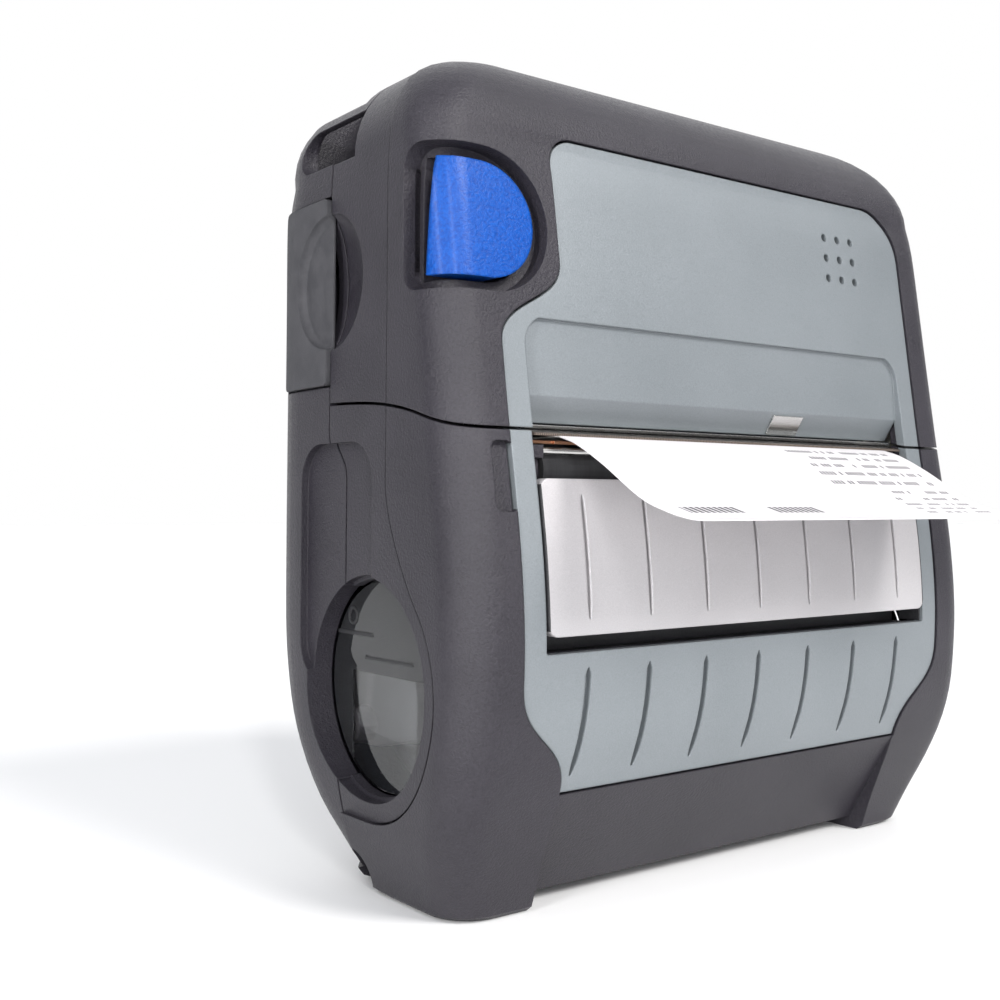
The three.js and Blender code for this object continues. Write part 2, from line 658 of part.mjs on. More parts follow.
const batteryLatch = (() => {
  const slide = box(-latchHalf, latchHalf, backY - latchThick, backY, latchFootZ, latchTopZ);
  const grooveStep = (latchTopZ - latchFootZ) / 4;
  const grooveEnd = latchHalf * Math.SQRT1_2;
  const grooves = gridSteps.map((i) => rodX(backY, (latchTopZ + latchFootZ) / 2 + i * grooveStep,
    grooveStep / 4, -grooveEnd, grooveEnd, 8));
  return cut(slide, ...grooves);
})();

function rearScrew([x, z]) {
  const headY = backY - screwSink;
  const screw = join(
    rodY(x, z, screwHeadRadius, headY - screwHeadThick, headY),
    rodY(x, z, screwRadius, headY - screwLong, headY - screwHeadThick / 2, 12),
  );
  const slotHalf = screwHeadRadius * Math.SQRT1_2;
  const slotAt = (a, b) => box(x - a, x + a, headY - screwSlotDeep, farY, z - b, z + b);
  const slot0 = slotAt(slotHalf, screwSlot / 2);
  const slot1 = slotAt(screwSlot / 2, slotHalf);
  return cut(screw, slot0, slot1);
}

const usbPort = (() => {
  const rim = (usbWide - usbTall) / 2;
  const socket = box(portFrontX - overrun, portFrontX + usbDeep / 2,
    usbY - usbWide / 2 + rim, usbY + usbWide / 2 - rim, usbZ - usbTall / 2 + rim, usbZ + usbTall / 2 - rim);
  return cut(portBox(0), socket);
})();
const powerJack = join(
  cut(rodX(jackY, jackZ, jackRadius, portFrontX, portFrontX + usbDeep),
    rodX(jackY, jackZ, jackBore, portFrontX - overrun, portFrontX + usbDeep / 2)),
  rodX(jackY, jackZ, jackPinRadius, portFrontX + jackPinRadius, portFrontX + usbDeep, 10),
);

addPart("rear_housing", rearHousing, charcoal);
addPart("port_flap", portFlap, softGrey);
addPart("battery_pack", batteryPack, blackPlastic);
addPart("battery_latch", batteryLatch, blackPlastic);
screwPlaces.forEach((place, i) => addPart(`rear_screw_${i + 1}`, rearScrew(place), steel));
addPart("usb_port", usbPort, steel);
addPart("power_jack", powerJack, blackPlastic);
addPart("power_key", keyAt(-keyPitch, 0, crownTopZ - keySkirt, crownTopZ + keyProud), buttonBlue);
addPart("feed_key", keyAt(keyPitch, 0, crownTopZ - keySkirt, crownTopZ + keyProud), blackPlastic);
addPart("status_lamp", lampAt(0, crownTopZ - wall, crownTopZ), lampGreen);
addPart("cover_hinge_pin", rodX(hingeY, hingeZ, hingePinRadius, -hingePinHalf, hingePinHalf, 16), steel);

// Between its feet the cover's face runs in at a slope to a floor that is just off the ground
const stripFootY = -33.4;
const stripFootZ = 2.7;
const stripBackY = hingeY + notchRadius;
const stripOutline = (grow) => [
  [nearY, panelFootZ + grow], [frontAt(panelFootZ) + grow, panelFootZ + grow],
  [stripFootY + grow, stripFootZ + grow], [stripBackY, stripFootZ + grow], [stripBackY, lowZ], [nearY, lowZ],
];
const stripCut = alongX(stripOutline(0), -panelFootHalf, panelFootHalf);
const stripWall = common(core, alongX(stripOutline(wall), -panelFootHalf - wall, panelFootHalf + wall));

// The door in the cover's face and the pin that it turns on
const doorOpeningFootZ = 51.9;
const doorMargin = 0.7;
const doorHalf = mouthHalf - doorMargin;
const doorFootZ = 55;
const doorTopZ = 84.6;
const doorThick = 2.4;
const doorPinY = -45.4;
const doorPinZ = 57.6;
const doorPinRadius = 1;
const doorKnuckleRadius = 2.1;
const doorKnuckleReach = 8;
const doorKnuckle0 = doorHalf - doorKnuckleReach;
const doorKnuckleMargin = 4;
const doorKnuckle1 = doorHalf - doorKnuckleMargin;
const doorLugMargin = 3.4;
const doorLug0 = doorHalf - doorLugMargin;
const doorLugProud = 2;
const doorLug1 = doorHalf + doorLugProud;
const doorOpening = (half) => box(-half, half, nearY, panelReachY, doorOpeningFootZ, highZ);

// The cover carries the platen in two arms, with the peel rod in a nose of each arm
const armReach = 4.7;
const armInnerX = mouthHalf - armReach;
const armMargin = 1.3;
const armOuterX = mouthHalf - armMargin;
const armRingRadius = 6.2;
const armHalf = 4.4; // half the arm's depth
const bearingRadius = 4;
const bearingBore = shaftRadius + airGap;
const bearingReach = 5.3;
const bearingInnerX = mouthHalf - bearingReach;
const bearingMargin = 0.7;
const bearingOuterX = mouthHalf - bearingMargin;
const shelfFootZ = 76;
const shelfTopZ = 79;
const shelfFrontY = -45.5;
const shelfBackY = -30;
const peelRodY = -42.4; // the peel rod's axis
const peelRodZ = 90;
const peelRodRadius = 0.75;
const peelRodMargin = 1.2;
const peelRodHalf = mouthHalf - peelRodMargin;
const noseRadius = 1.4;
const stripTopZ = 92; // the copper brush over the peel rod
const brushThick = 0.6;
const brushFrontY = -43.4;
const brushBackY = -41.4;
const brushMargin = 1.7;
const brushHalf = mouthHalf - brushMargin;
const brushPitch = 6;
const platenArm = bothSides(cut(
  join(
    rodX(platenY, platenZ, armRingRadius, armInnerX, armOuterX),
    box(armInnerX, armOuterX, platenY - armHalf, platenY + armHalf, shelfFootZ + wall / 2, platenZ),
    alongX([
      [platenY, platenZ], [peelRodY, peelRodZ - noseRadius], [peelRodY - noseRadius, peelRodZ - noseRadius],
      [peelRodY - noseRadius, stripTopZ - brushThick - airGap], [platenY, stripTopZ - brushThick - airGap],
    ], armInnerX, armOuterX),
  ),
  rodX(platenY, platenZ, bearingRadius + airGap, armInnerX - overrun, armOuterX + overrun),
  rodX(peelRodY, peelRodZ, peelRodRadius + airGap, armInnerX - overrun, armOuterX + overrun, 10),
));
const armShelf = common(core, bothSides(box(armInnerX, farX, shelfFrontY, shelfBackY, shelfFootZ, shelfTopZ)));

// A small recess beside the panel's edge, for a fingertip
const tabMargin = 9;
const tabOuterX = tabMargin - sideX;
const tabFootZ = 78.3;
const tabTopZ = 91.5;
const tabDepth = 0.9;
const tabRound = 1.5;

const coverFrame = (() => {
  const opening = doorOpening(mouthHalf);
  const shellPart = common(coverRegion, cut(
    join(cut(shell, bumperCut), dishPad, backing(lowerPanelOutline(backingRim)), stripWall),
    pocket(lowerPanelOutline(fitGap)), columnCut, dishCut, lensHole, opening, stripCut, hingeNotch,
    downTo(tabDepth, alongY(
      roundedRect(tabOuterX, -panelHalf, tabFootZ, tabTopZ, tabRound), nearY, panelReachY)),
  ));
  const lugs = bothSides(rodX(doorPinY, doorPinZ, doorKnuckleRadius, doorLug0, doorLug1, 16));
  return cut(
    join(largest(shellPart), armShelf, platenArm, lugs,
      knuckle(coverKnuckle0, coverKnuckle1, hingeY - 2 * notchRadius, hingeY)),
    hingeBore, rodX(doorPinY, doorPinZ, doorPinRadius + airGap, -doorLug1 - overrun, doorLug1 + overrun, 12),
  );
})();

// Grooves that taper out downwards, pressed into the panel and the door
const grooveMargin = 3.8;
const grooveHalf = panelFootHalf - grooveMargin;
const grooveShares = [-3, -2, -1, 0, 1, 2, 3].map((i) => i / 3); // places, in shares of the outer groove's
const grooveWide = 1.5;
const grooveTip = 0.4;
const grooveDeep = 0.9;
function faceGrooves(footZ, topZ, set) {
  const places = [];
  for (const share of grooveShares) {
    const x = grooveHalf * share;
    places.push(alongY([[x - grooveTip / 2, footZ], [x + grooveTip / 2, footZ], [x + grooveWide / 2, topZ],
      [x - grooveWide / 2, topZ]], nearY, panelReachY));
  }
  return downTo(set + grooveDeep, ...places);
}
const lowerGrooveFootZ = 28.1;
const lowerGrooveTopZ = 47.8;
const doorGrooveMargin = 3;
const coverPanel = cut(
  common(panelSkin, alongY(lowerPanelOutline(0), nearY, panelReachY), coverRegion),
  doorOpening(mouthHalf - airGap), faceGrooves(lowerGrooveFootZ, lowerGrooveTopZ, panelSet),
);
const peelDoor = (() => {
  const leafBox = box(-doorHalf, doorHalf, nearY, panelReachY, doorFootZ, doorTopZ);
  const leaf = common(cut(skin, within(doorThick)), leafBox);
  const web = box(doorKnuckle0, doorKnuckle1, frontAt(doorPinZ) + doorThick / 2, doorPinY,
    doorPinZ - doorPinRadius, doorPinZ + doorPinRadius);
  const barrel = rodX(doorPinY, doorPinZ, doorKnuckleRadius, doorKnuckle0, doorKnuckle1, 16);
  const knuckles = bothSides(join(barrel, web));
  return cut(join(leaf, knuckles),
    rodX(doorPinY, doorPinZ, doorPinRadius + airGap, -doorHalf, doorHalf, 12),
    faceGrooves(doorFootZ + doorGrooveMargin, doorTopZ - doorGrooveMargin, 0));
})();

// A lens is a flat disc with a bevelled rim
const lensThick = 2;
const lensBevel = 0.8;
const lensOuterX = dishFloorX - airGap;
const lens = join(
  rodX(lensY, lensZ, lensRadius, lensOuterX - lensThick, lensOuterX - lensBevel, rimSides),
  new THREE.CylinderGeometry(lensRadius, lensRadius - lensBevel, lensBevel, rimSides)
    .rotateZ(Math.PI / 2).translate(lensOuterX - lensBevel / 2, lensY, lensZ),
);
const platenBearing = cut(
  rodX(platenY, platenZ, bearingRadius, bearingInnerX, bearingOuterX),
  rodX(platenY, platenZ, bearingBore, bearingInnerX - overrun, bearingOuterX + overrun),
);
const peelRod = rodX(peelRodY, peelRodZ, peelRodRadius, -peelRodHalf, peelRodHalf, 12);
const staticBrush = (() => {
  const points = [[brushHalf, brushBackY], [-brushHalf, brushBackY]];
  for (let x = -brushHalf; x < brushHalf; x += brushPitch) {
    points.push([x, brushFrontY], [x + brushPitch / 2, brushFrontY], [x + brushPitch / 2, brushFrontY + brushThick],
      [x + brushPitch, brushFrontY + brushThick]);
  }
  return alongZ(points, stripTopZ - brushThick, stripTopZ);
})();

addPart("cover_frame", coverFrame, charcoal);
addPart("cover_panel", coverPanel, silverGrey);
addPart("peel_door", peelDoor, pearlGrey);
addPart("door_pin", rodX(doorPinY, doorPinZ, doorPinRadius, -doorHalf, doorHalf, 10), steel);
addPart("lens_left", mirrorX(lens), clearPlastic);
addPart("lens_right", lens, clearPlastic);
addPart("platen_bearing_left", mirrorX(platenBearing), steel);
addPart("platen_bearing_right", platenBearing, steel);
addPart("peel_rod", peelRod, steel);
addPart("static_brush", staticBrush, copper);

// Spur gears seen along X or Y: teeth are trapezoids on the root circle, the first one at startAngle
const toothRootShare = 0.3; // half a tooth's width at the root and at the tip, in shares of the pitch angle
const toothTipShare = 0.1;
const addendumShare = 1; // in modules
const dedendumShare = 1.25;
function gearOutline(a, b, teeth, module, startAngle) {
  const pitchAngle = (2 * Math.PI) / teeth;
  const tip = module * (teeth / 2 + addendumShare);
  const root = module * (teeth / 2 - dedendumShare);
  const points = [];
  const add = (r, angle) => points.push([a + r * Math.cos(angle), b + r * Math.sin(angle)]);
  for (let i = 0; i < teeth; i++) {
    const middle = startAngle + i * pitchAngle;
    add(root, middle - pitchAngle * toothRootShare);
    add(tip, middle - pitchAngle * toothTipShare);
    add(tip, middle + pitchAngle * toothTipShare);
    add(root, middle + pitchAngle * toothRootShare);
  }
  return points;
}

// The feed train: motor pinion, idler and platen gear, outside the right side plate
const gearModule = 0.7;
const platenTeeth = 18;
const idlerTeeth = 40;
const pinionTeeth = 12;
const gearBacklash = 0.1;
const gearReach = 11;
const gearX0 = sideX - gearReach;
const gearMargin = 7;
const gearX1 = sideX - gearMargin;
const toIdler = (50 * Math.PI) / 180; // directions from the platen to the idler and from there to the motor
const toMotor = (45 * Math.PI) / 180;
const platenToIdler = (gearModule * (platenTeeth + idlerTeeth)) / 2 + gearBacklash;
const idlerToMotor = (gearModule * (idlerTeeth + pinionTeeth)) / 2 + gearBacklash;
const idlerY = platenY + platenToIdler * Math.cos(toIdler);
const idlerZ = platenZ + platenToIdler * Math.sin(toIdler);
const motorY = idlerY + idlerToMotor * Math.cos(toMotor);
const motorZ = idlerZ + idlerToMotor * Math.sin(toMotor);
const meshAngle = (angle, way, teeth, nextTeeth) =>
  way + Math.PI - ((angle - way) * teeth) / nextTeeth + Math.PI / nextTeeth;
const platenAngle = 0;
const idlerAngle = meshAngle(platenAngle, toIdler, platenTeeth, idlerTeeth);
const motorAngle = meshAngle(idlerAngle, toMotor, idlerTeeth, pinionTeeth);
const stubRadius = 2;
const motorRadius = 10;

const motorMargin = 14.9;
const motorX1 = sideX - motorMargin;
const motorLong = 37.6;
const motorX0 = motorX1 - motorLong;
const motorShaftRadius = 1.2;
const gearAt = (y, z, teeth, angle, bore) => cut(
  alongX(gearOutline(y, z, teeth, gearModule, angle), gearX0, gearX1),
  rodX(y, z, bore, gearX0 - overrun, gearX1 + overrun, 16),
);

// The platen: a rubber roller and a gear on one shaft
const rollerMargin = 6.2;
const rollerHalf = mouthHalf - rollerMargin;
const pressGap = 0.05; // between pieces that are pressed together
const shaftMargin = 15;
const shaftLeftX = shaftMargin - sideX;
const platenRoller = cut(rodX(platenY, platenZ, platenRadius, -rollerHalf, rollerHalf, 36),
  rodX(platenY, platenZ, shaftRadius + pressGap, -farX, farX));
const drivenGear = gearAt(platenY, platenZ, platenTeeth, platenAngle, shaftRadius + pressGap);

addPart("platen_roller", platenRoller, blackRubber);
addPart("platen_shaft", rodX(platenY, platenZ, shaftRadius, shaftLeftX, gearX1), steel);
addPart("platen_gear", drivenGear, gearPlastic);
addPart("idler_gear", gearAt(idlerY, idlerZ, idlerTeeth, idlerAngle, stubRadius + airGap), gearPlastic);
addPart("motor_pinion", gearAt(motorY, motorZ, pinionTeeth, motorAngle, motorShaftRadius + airGap), steel);
addPart("drive_motor", join(
  rodX(motorY, motorZ, motorRadius, motorX0, motorX1),
  rodX(motorY, motorZ, motorShaftRadius, motorX1 - overrun, gearX1, 12),
), steel);

// The latch: a shaft with two hooks over the platen's shaft and a lever behind the release button
const latchY = -14;
const latchZ = 96;
const latchShaftRadius = 2;
const latchShaftMargin = 6.5;
const latchShaftLeftX = latchShaftMargin - sideX;
const leverMargin = 7;
const leverX0 = leverMargin - sideX;
const leverReach = 11;
const leverX1 = leverReach - sideX;
const leverPadY = stemBackY + fitGap;
const leverPadHalf = 5;
const leverWide = 5;
const hookOffset = 1.1;
const hookInnerX = mouthHalf + hookOffset;
const hookWide = 2.2;
const hookOuterX = hookInnerX + hookWide;
const hookGap = 0.6; // between the hook and the platen's shaft
const hookThick = 1.8;
const hookTipZ = platenZ + hookGap / 2;
const hookTopZ = platenZ + shaftRadius + hookGap + hookThick;
const frameHalf = frameOuterX;
const latchLever = alongX([
  [latchY - leverWide / 2, latchZ - leverWide / 2], [latchY + leverWide / 2, latchZ - leverWide / 2],
  [latchY + leverWide / 2, latchZ + leverWide], [leverPadY + leverWide, buttonZ + leverPadHalf],
  [leverPadY, buttonZ + leverPadHalf], [leverPadY, buttonZ - leverPadHalf],
  [latchY - leverWide / 2, latchZ + leverWide],
], leverX0, leverX1);
const latchShaft = join(rodX(latchY, latchZ, latchShaftRadius, latchShaftLeftX, frameHalf), latchLever);
const latchHook = (() => {
  const inner = shaftRadius + hookGap;
  const hook = alongX([
    [latchY, latchZ + leverWide / 2], [platenY + inner, hookTopZ + hookThick],
    [platenY - inner - hookThick / 2, hookTopZ],
    [platenY - inner - hookThick, platenZ + inner], [platenY - inner - hookThick / 2, hookTipZ],
    [platenY - inner, hookTipZ], [platenY - inner, platenZ + inner - hookThick / 2],
    [platenY - inner + hookThick / 2, platenZ + inner], [platenY + inner, platenZ + inner],
    [latchY, latchZ - leverWide / 2],
  ], hookInnerX, hookOuterX);
  const hub = rodX(latchY, latchZ, leverWide * Math.SQRT1_2, hookInnerX, hookOuterX);
  return cut(join(hook, hub), rodX(latchY, latchZ, latchShaftRadius + pressGap, hookInnerX - overrun, farX));
})();
addPart("latch_shaft", latchShaft, steel);
addPart("latch_hook_left", mirrorX(latchHook), steel);
addPart("latch_hook_right", latchHook, steel);

// The print head floats on a bracket that hangs from its own shaft
const headMargin = 5.7;
const headHalf = mouthHalf - headMargin;
const headFrontY = -37.2;
const headBackY = -27.8;
const headFootZ = 93.25;
const headTopZ = 95.6;
const bracketMargin = 2.7;
const bracketHalf = mouthHalf - bracketMargin;
const bracketThick = 1.5;
const bracketBackY = -20;
const bracketLug = 2;
const headPivotY = -26;
const headPivotZ = 106;
const headShaftRadius = 1.5;
const lugRadius = 3.4;
const headBracket = (() => {
  const footZ = headTopZ + airGap;
  const sheet = box(-bracketHalf, bracketHalf, headFrontY, bracketBackY, footZ, footZ + bracketThick);
  const lugs = bothSides(join(
    alongX([[headFrontY, footZ], [bracketBackY, footZ], [headPivotY + lugRadius, headPivotZ],
      [headPivotY - lugRadius, headPivotZ]], bracketHalf - bracketLug, bracketHalf),
    rodX(headPivotY, headPivotZ, lugRadius, bracketHalf - bracketLug, bracketHalf),
  ));
  return join(sheet, lugs, rodX(headPivotY, headPivotZ, headShaftRadius, -frameHalf, frameHalf, 16));
})();
addPart("print_head", box(-headHalf, headHalf, headFrontY, headBackY, headFootZ, headTopZ), blackPlastic);
addPart("head_bracket", headBracket, steel);

// The inner frame: two side plates, a beam, the roll's well, brackets for the guide rod and two stub axles
const framePlate = 2;
const frameInnerX = frameOuterX - framePlate;
const plateLine = [[-30, 99], [-30, 112], [-18, 130], [4, 130], [4, 64], [-3, 62], [-3, 78], [-22, 90]];
const beamFrontY = -1;
const beamBackY = 4;
const beamFootZ = 65;
const beamTopZ = 69;
const wellRadius = 28;
const wellThick = 2;
const wellInset = 7.5;
const wellHalf = mouthHalf - wellInset;
const wellStart = (-75 * Math.PI) / 180;
const wellEnd = (58 * Math.PI) / 180;
const footRibInset = 2;
const footRibHalf = rearKnuckle0 - footRibInset;
const footRibFrontY = 2.5;
const footRibBackY = 5;
const guideRodY = 16;
const guideRodZ = 31;
const guideRodRadius = 2;
const guideRodMargin = 15.5;
const guideRodHalf = sideX - guideRodMargin;
const rodBracketReach = 13.2;
const rodBracketInner = mouthHalf - rodBracketReach;
const rodBracketMargin = 10.7;
const rodBracketOuter = mouthHalf - rodBracketMargin;
const rodBracketRadius = 4;
const guideZ = 52; // the axle between the two racks
const axleFrontY = 11.5;
const axleBackY = 22;
const innerFrame = (() => {
  const plates = bothSides(alongX(plateLine, frameInnerX, frameHalf));
  const beam = box(-frameHalf, frameHalf, beamFrontY, beamBackY, beamFootZ, beamTopZ);
  const wellShape = new THREE.Shape();
  const arcPoint = (r, angle) => [rollY + r * Math.cos(angle), rollZ + r * Math.sin(angle)];
  wellShape.moveTo(...arcPoint(wellRadius, wellStart));
  wellShape.absarc(rollY, rollZ, wellRadius + wellThick, wellStart, wellEnd);
  wellShape.absarc(rollY, rollZ, wellRadius, wellEnd, wellStart, true);
  const well = alongX(wellShape, -wellHalf, wellHalf, arcSegments * 3);
  const brackets = bothSides(join(
    rodX(guideRodY, guideRodZ, rodBracketRadius, rodBracketInner, rodBracketOuter, 16),
    box(rodBracketInner, rodBracketOuter, guideRodY - rodBracketRadius - wellThick, guideRodY,
      guideRodZ - rodBracketRadius, guideRodZ + rodBracketRadius),
  ));
  const footRib = box(-footRibHalf, footRibHalf, footRibFrontY, footRibBackY,
    wall + airGap, rollZ - wellRadius + overrun);
  const wellHollow = rodX(rollY, rollZ, wellRadius, -farX, farX, 36);
  const stub = rodX(idlerY, idlerZ, stubRadius, frameInnerX, gearX1 + airGap, 16);
  const axle = rodY(0, guideZ, stubRadius, axleFrontY, axleBackY, 16);
  const holes = [
    rodX(latchY, latchZ, latchShaftRadius + airGap, -farX, farX, 16),
    rodX(headPivotY, headPivotZ, headShaftRadius + airGap, -farX, farX, 16),
    rodX(motorY, motorZ, motorShaftRadius + airGap, 0, farX, 12),
    rodX(guideRodY, guideRodZ, guideRodRadius + pressGap, -farX, farX, 16),
  ];
  return join(cut(join(plates, beam, cut(join(well, footRib, brackets), wellHollow)), ...holes), stub, axle);
})();
addPart("inner_frame", innerFrame, blackPlastic);
addPart("guide_rod", rodX(guideRodY, guideRodZ, guideRodRadius, -guideRodHalf, guideRodHalf, 16), steel);

// The roll's two guides slide apart on the rod, tied by racks and a pinion behind the well
const guideMargin = 6.9;
const guideX0 = mouthHalf - guideMargin;
const guideThick = 2.6;
const guideX1 = guideX0 + guideThick;
const guideDiscRadius = 13;
const guideBossRadius = 9.1;
const guideBossMargin = 10.2;
const guideBossX = mouthHalf - guideBossMargin;
const sleeveMargin = 0.7;
const sleeveX = mouthHalf - sleeveMargin;
const sleeveRadius = 4;
const rackModule = 1;
const rackPinionTeeth = 12;
const rackFrontY = 17;
const rackBackY = 21;
const rackThick = 2.25;
const rackInset = 0.5; // the arm ends inside the rack
const rackReach = 8; // the rack's free end past the middle
const rackTeethReach = 15;
const rackPinionRadius = (rackModule * rackPinionTeeth) / 2;
function rack() {
  const pitch = Math.PI * rackModule;
  const tipZ = guideZ + rackPinionRadius - rackModule * addendumShare + gearBacklash;
  const rootZ = guideZ + rackPinionRadius + rackModule * dedendumShare;
  const endX = -(guideX0 + guideX1) / 2;
  const points = [[endX, rootZ + rackThick], [endX, rootZ]];
  for (let x = -rackTeethReach + (rackTeethReach % pitch) - pitch / 2; x < rackReach; x += pitch) {
    points.push([x - pitch * toothRootShare, rootZ], [x - pitch * toothTipShare, tipZ],
      [x + pitch * toothTipShare, tipZ], [x + pitch * toothRootShare, rootZ]);
  }
  points.push([rackReach, rootZ], [rackReach, rootZ + rackThick]);
  return alongY(points, rackFrontY, rackBackY);
}
const rackTopZ = guideZ + rackPinionRadius + rackModule * dedendumShare + rackThick;
const rackFootZ = 2 * guideZ - rackTopZ;
const guideArm = (z0, z1) => join(
  rodX(rollY, rollZ, guideDiscRadius, -guideX1, -guideX0, 30),
  rodX(rollY, rollZ, guideBossRadius, -guideX0 - rackInset, -guideBossX, 30),
  alongX([[rollY, rollZ - guideDiscRadius / 2], [guideRodY - sleeveRadius, guideRodZ - sleeveRadius],
    [guideRodY + sleeveRadius, guideRodZ - sleeveRadius], [rackBackY - rackInset, z0 + rackInset],
    [rackBackY - rackInset, z1 - rackInset], [rackFrontY + rackInset, z1 - rackInset],
    [rackFrontY - sleeveRadius, rollZ + sleeveRadius], [rollY, rollZ + guideDiscRadius / 2]],
  -guideX1 + rackInset, -guideX0 - rackInset),
  rodX(guideRodY, guideRodZ, sleeveRadius, -sleeveX, -guideX0 - rackInset / 2, 16),
);
const rodBore = rodX(guideRodY, guideRodZ, guideRodRadius + airGap, -farX, farX, 16);
const guideLeft = cut(join(guideArm(rackTopZ - rackThick, rackTopZ), rack()), rodBore);
// The right rack is the left one turned half round the axle
const lowerRack = solid(rack()).rotate([0, 180, 0]).translate([0, 0, 2 * guideZ]);
const guideRight = cut(join(mirrorX(guideArm(rackFootZ, rackFootZ + rackThick)), lowerRack), rodBore);
const rackPinion = cut(
  alongY(gearOutline(0, guideZ, rackPinionTeeth, rackModule, Math.PI / 2), rackFrontY, rackBackY),
  rodY(0, guideZ, stubRadius + airGap, 0, farY, 16));
addPart("guide_left", guideLeft, blackPlastic);
addPart("guide_right", guideRight, blackPlastic);
addPart("guide_pinion", rackPinion, gearPlastic);

// The roll of labels on its core, the web up to the mouth and the printed label that hangs out of it
const coreRadius = 11.1;
const coreThick = 1.6;
const labelRoll = cut(rodX(rollY, rollZ, rollRadius, -linerHalf, linerHalf, 48),
  rodX(rollY, rollZ, coreRadius + airGap, -farX, farX));
const rollCore = cut(rodX(rollY, rollZ, coreRadius, -linerHalf, linerHalf),
  rodX(rollY, rollZ, coreRadius - coreThick, -farX, farX));
const webEndY = -44.2;
const labelWeb = (() => {
  const r0 = rollRadius + airGap;
  const r1 = platenRadius + airGap;
  const dy = platenY - rollY;
  const dz = platenZ - rollZ;
  const angle = Math.atan2(dz, dy) - Math.acos((r0 - r1) / Math.hypot(dy, dz));
  const s = new THREE.Shape();
  const at = (y, z, r) => [y + r * Math.cos(angle), z + r * Math.sin(angle)];
  s.moveTo(...at(rollY, rollZ, r0));
  s.lineTo(...at(platenY, platenZ, r1));
  s.absarc(platenY, platenZ, r1, angle, Math.PI / 2);
  s.lineTo(webEndY, platenZ + r1);
  s.lineTo(webEndY, platenZ + r1 + paperThick);
  s.lineTo(platenY, platenZ + r1 + paperThick);
  s.absarc(platenY, platenZ, r1 + paperThick, Math.PI / 2, angle, true);
  s.lineTo(...at(rollY, rollZ, r0 + paperThick));
  return alongX(s, -linerHalf, linerHalf);
})();
// The label's underside, out from the mouth and down, in [share of its reach, share of its fall]
const labelReach = 37.4;
const labelFall = 15.9;
const labelShares = [[0, 0], [0.13, 0.1], [0.33, 0.35], [0.61, 0.76], [0.8, 0.92], [0.94, 0.99], [1, 1]];
const printedLabel = (() => {
  const topZ = platenZ + platenRadius + airGap;
  const line = labelShares.map(([y, z]) => [webEndY - airGap - y * labelReach, topZ - z * labelFall]);
  return alongX([...line, ...line.map(([y, z]) => [y, z + paperThick]).reverse()], -labelHalf, labelHalf);
})();
addPart("label_roll", labelRoll, paper);
addPart("roll_core", rollCore, cardboard);
addPart("label_web", labelWeb, paper);
addPart("printed_label", printedLabel, paper);

// The tear bar under the lip, with a fine saw edge, and the sensor's cover on the lip's bevel
const tearHalf = 57;
const tearFootZ = platenZ + platenRadius + airGap + paperThick + airGap;
const tearTopZ = throatZ - airGap;
const tearFrontY = -44.8;
const tearThick = 0.7;
const tearPitch = 3;
const tearTooth = 0.8;
const tearBar = (() => {
  const bar = alongX([
    [tearFrontY, tearFootZ + tearThick / 4], [tearFrontY + tearThick / 4, tearFootZ + tearThick],
    [throatY - bearingRadius / 2, tearTopZ],
    [throatBackY, tearTopZ], [throatBackY, tearFootZ], [tearFrontY + tearTooth, tearFootZ],
  ], -tearHalf, tearHalf);
  const notches = [];
  for (let x = -tearHalf; x < tearHalf; x += tearPitch) {
    notches.push(alongZ([[x, tearFrontY - tearTooth], [x + tearPitch, tearFrontY - tearTooth],
      [x + tearPitch / 2, tearFrontY + tearTooth]], tearFootZ - overrun, tearTopZ + overrun));
  }
  return cut(bar, ...notches);
})();
const sensorX0 = 13.4;
const sensorX1 = 23.4;
const sensorFootShare = 0.15; // along the bevel, from the throat up
const sensorTopShare = 0.89;
const sensorThick = 0.5;
const labelSensor = (() => {
  const bevelY = lipFootY - throatY;
  const bevelZ = lipFootZ - throatZ;
  const bevel = Math.hypot(bevelY, bevelZ);
  const at = (share, out) => [
    throatY + bevelY * share - (out * bevelZ) / bevel, throatZ + bevelZ * share + (out * bevelY) / bevel,
  ];
  return alongX([at(sensorFootShare, pressGap), at(sensorTopShare, pressGap), at(sensorTopShare, sensorThick),
    at(sensorFootShare, sensorThick)], sensorX0, sensorX1);
})();
addPart("tear_bar", tearBar, steel);
addPart("label_sensor", labelSensor, steel);

// The main board, the battery's contacts and the speaker
const boardHalf = 56;
const boardFrontY = 7.2;
const boardThick = 1.6;
const boardFootZ = 98;
const boardTopZ = 147;
const contactThick = 2.6;
const contactBackY = batteryFrontY - airGap;
const speakerGap = 1.2; // the housing's wall slopes behind the speaker's ring
const speakerFrontY = frontAt(speakerZ + speakerRadius) + pocketDepth + backingThick + speakerGap;
addPart("main_board",
  box(-boardHalf, boardHalf, boardFrontY, boardFrontY + boardThick, boardFootZ, boardTopZ), boardGreen);
addPart("battery_contacts", box(-contactHalf, contactHalf, contactBackY - contactThick, contactBackY,
  contactZ - contactTall / 2, contactZ + contactTall / 2), copper);
addPart("speaker",
  rodY(speakerX, speakerZ, speakerRadius, speakerFrontY, speakerFrontY + speakerThick), blackPlastic);

export default printer;
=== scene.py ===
import math

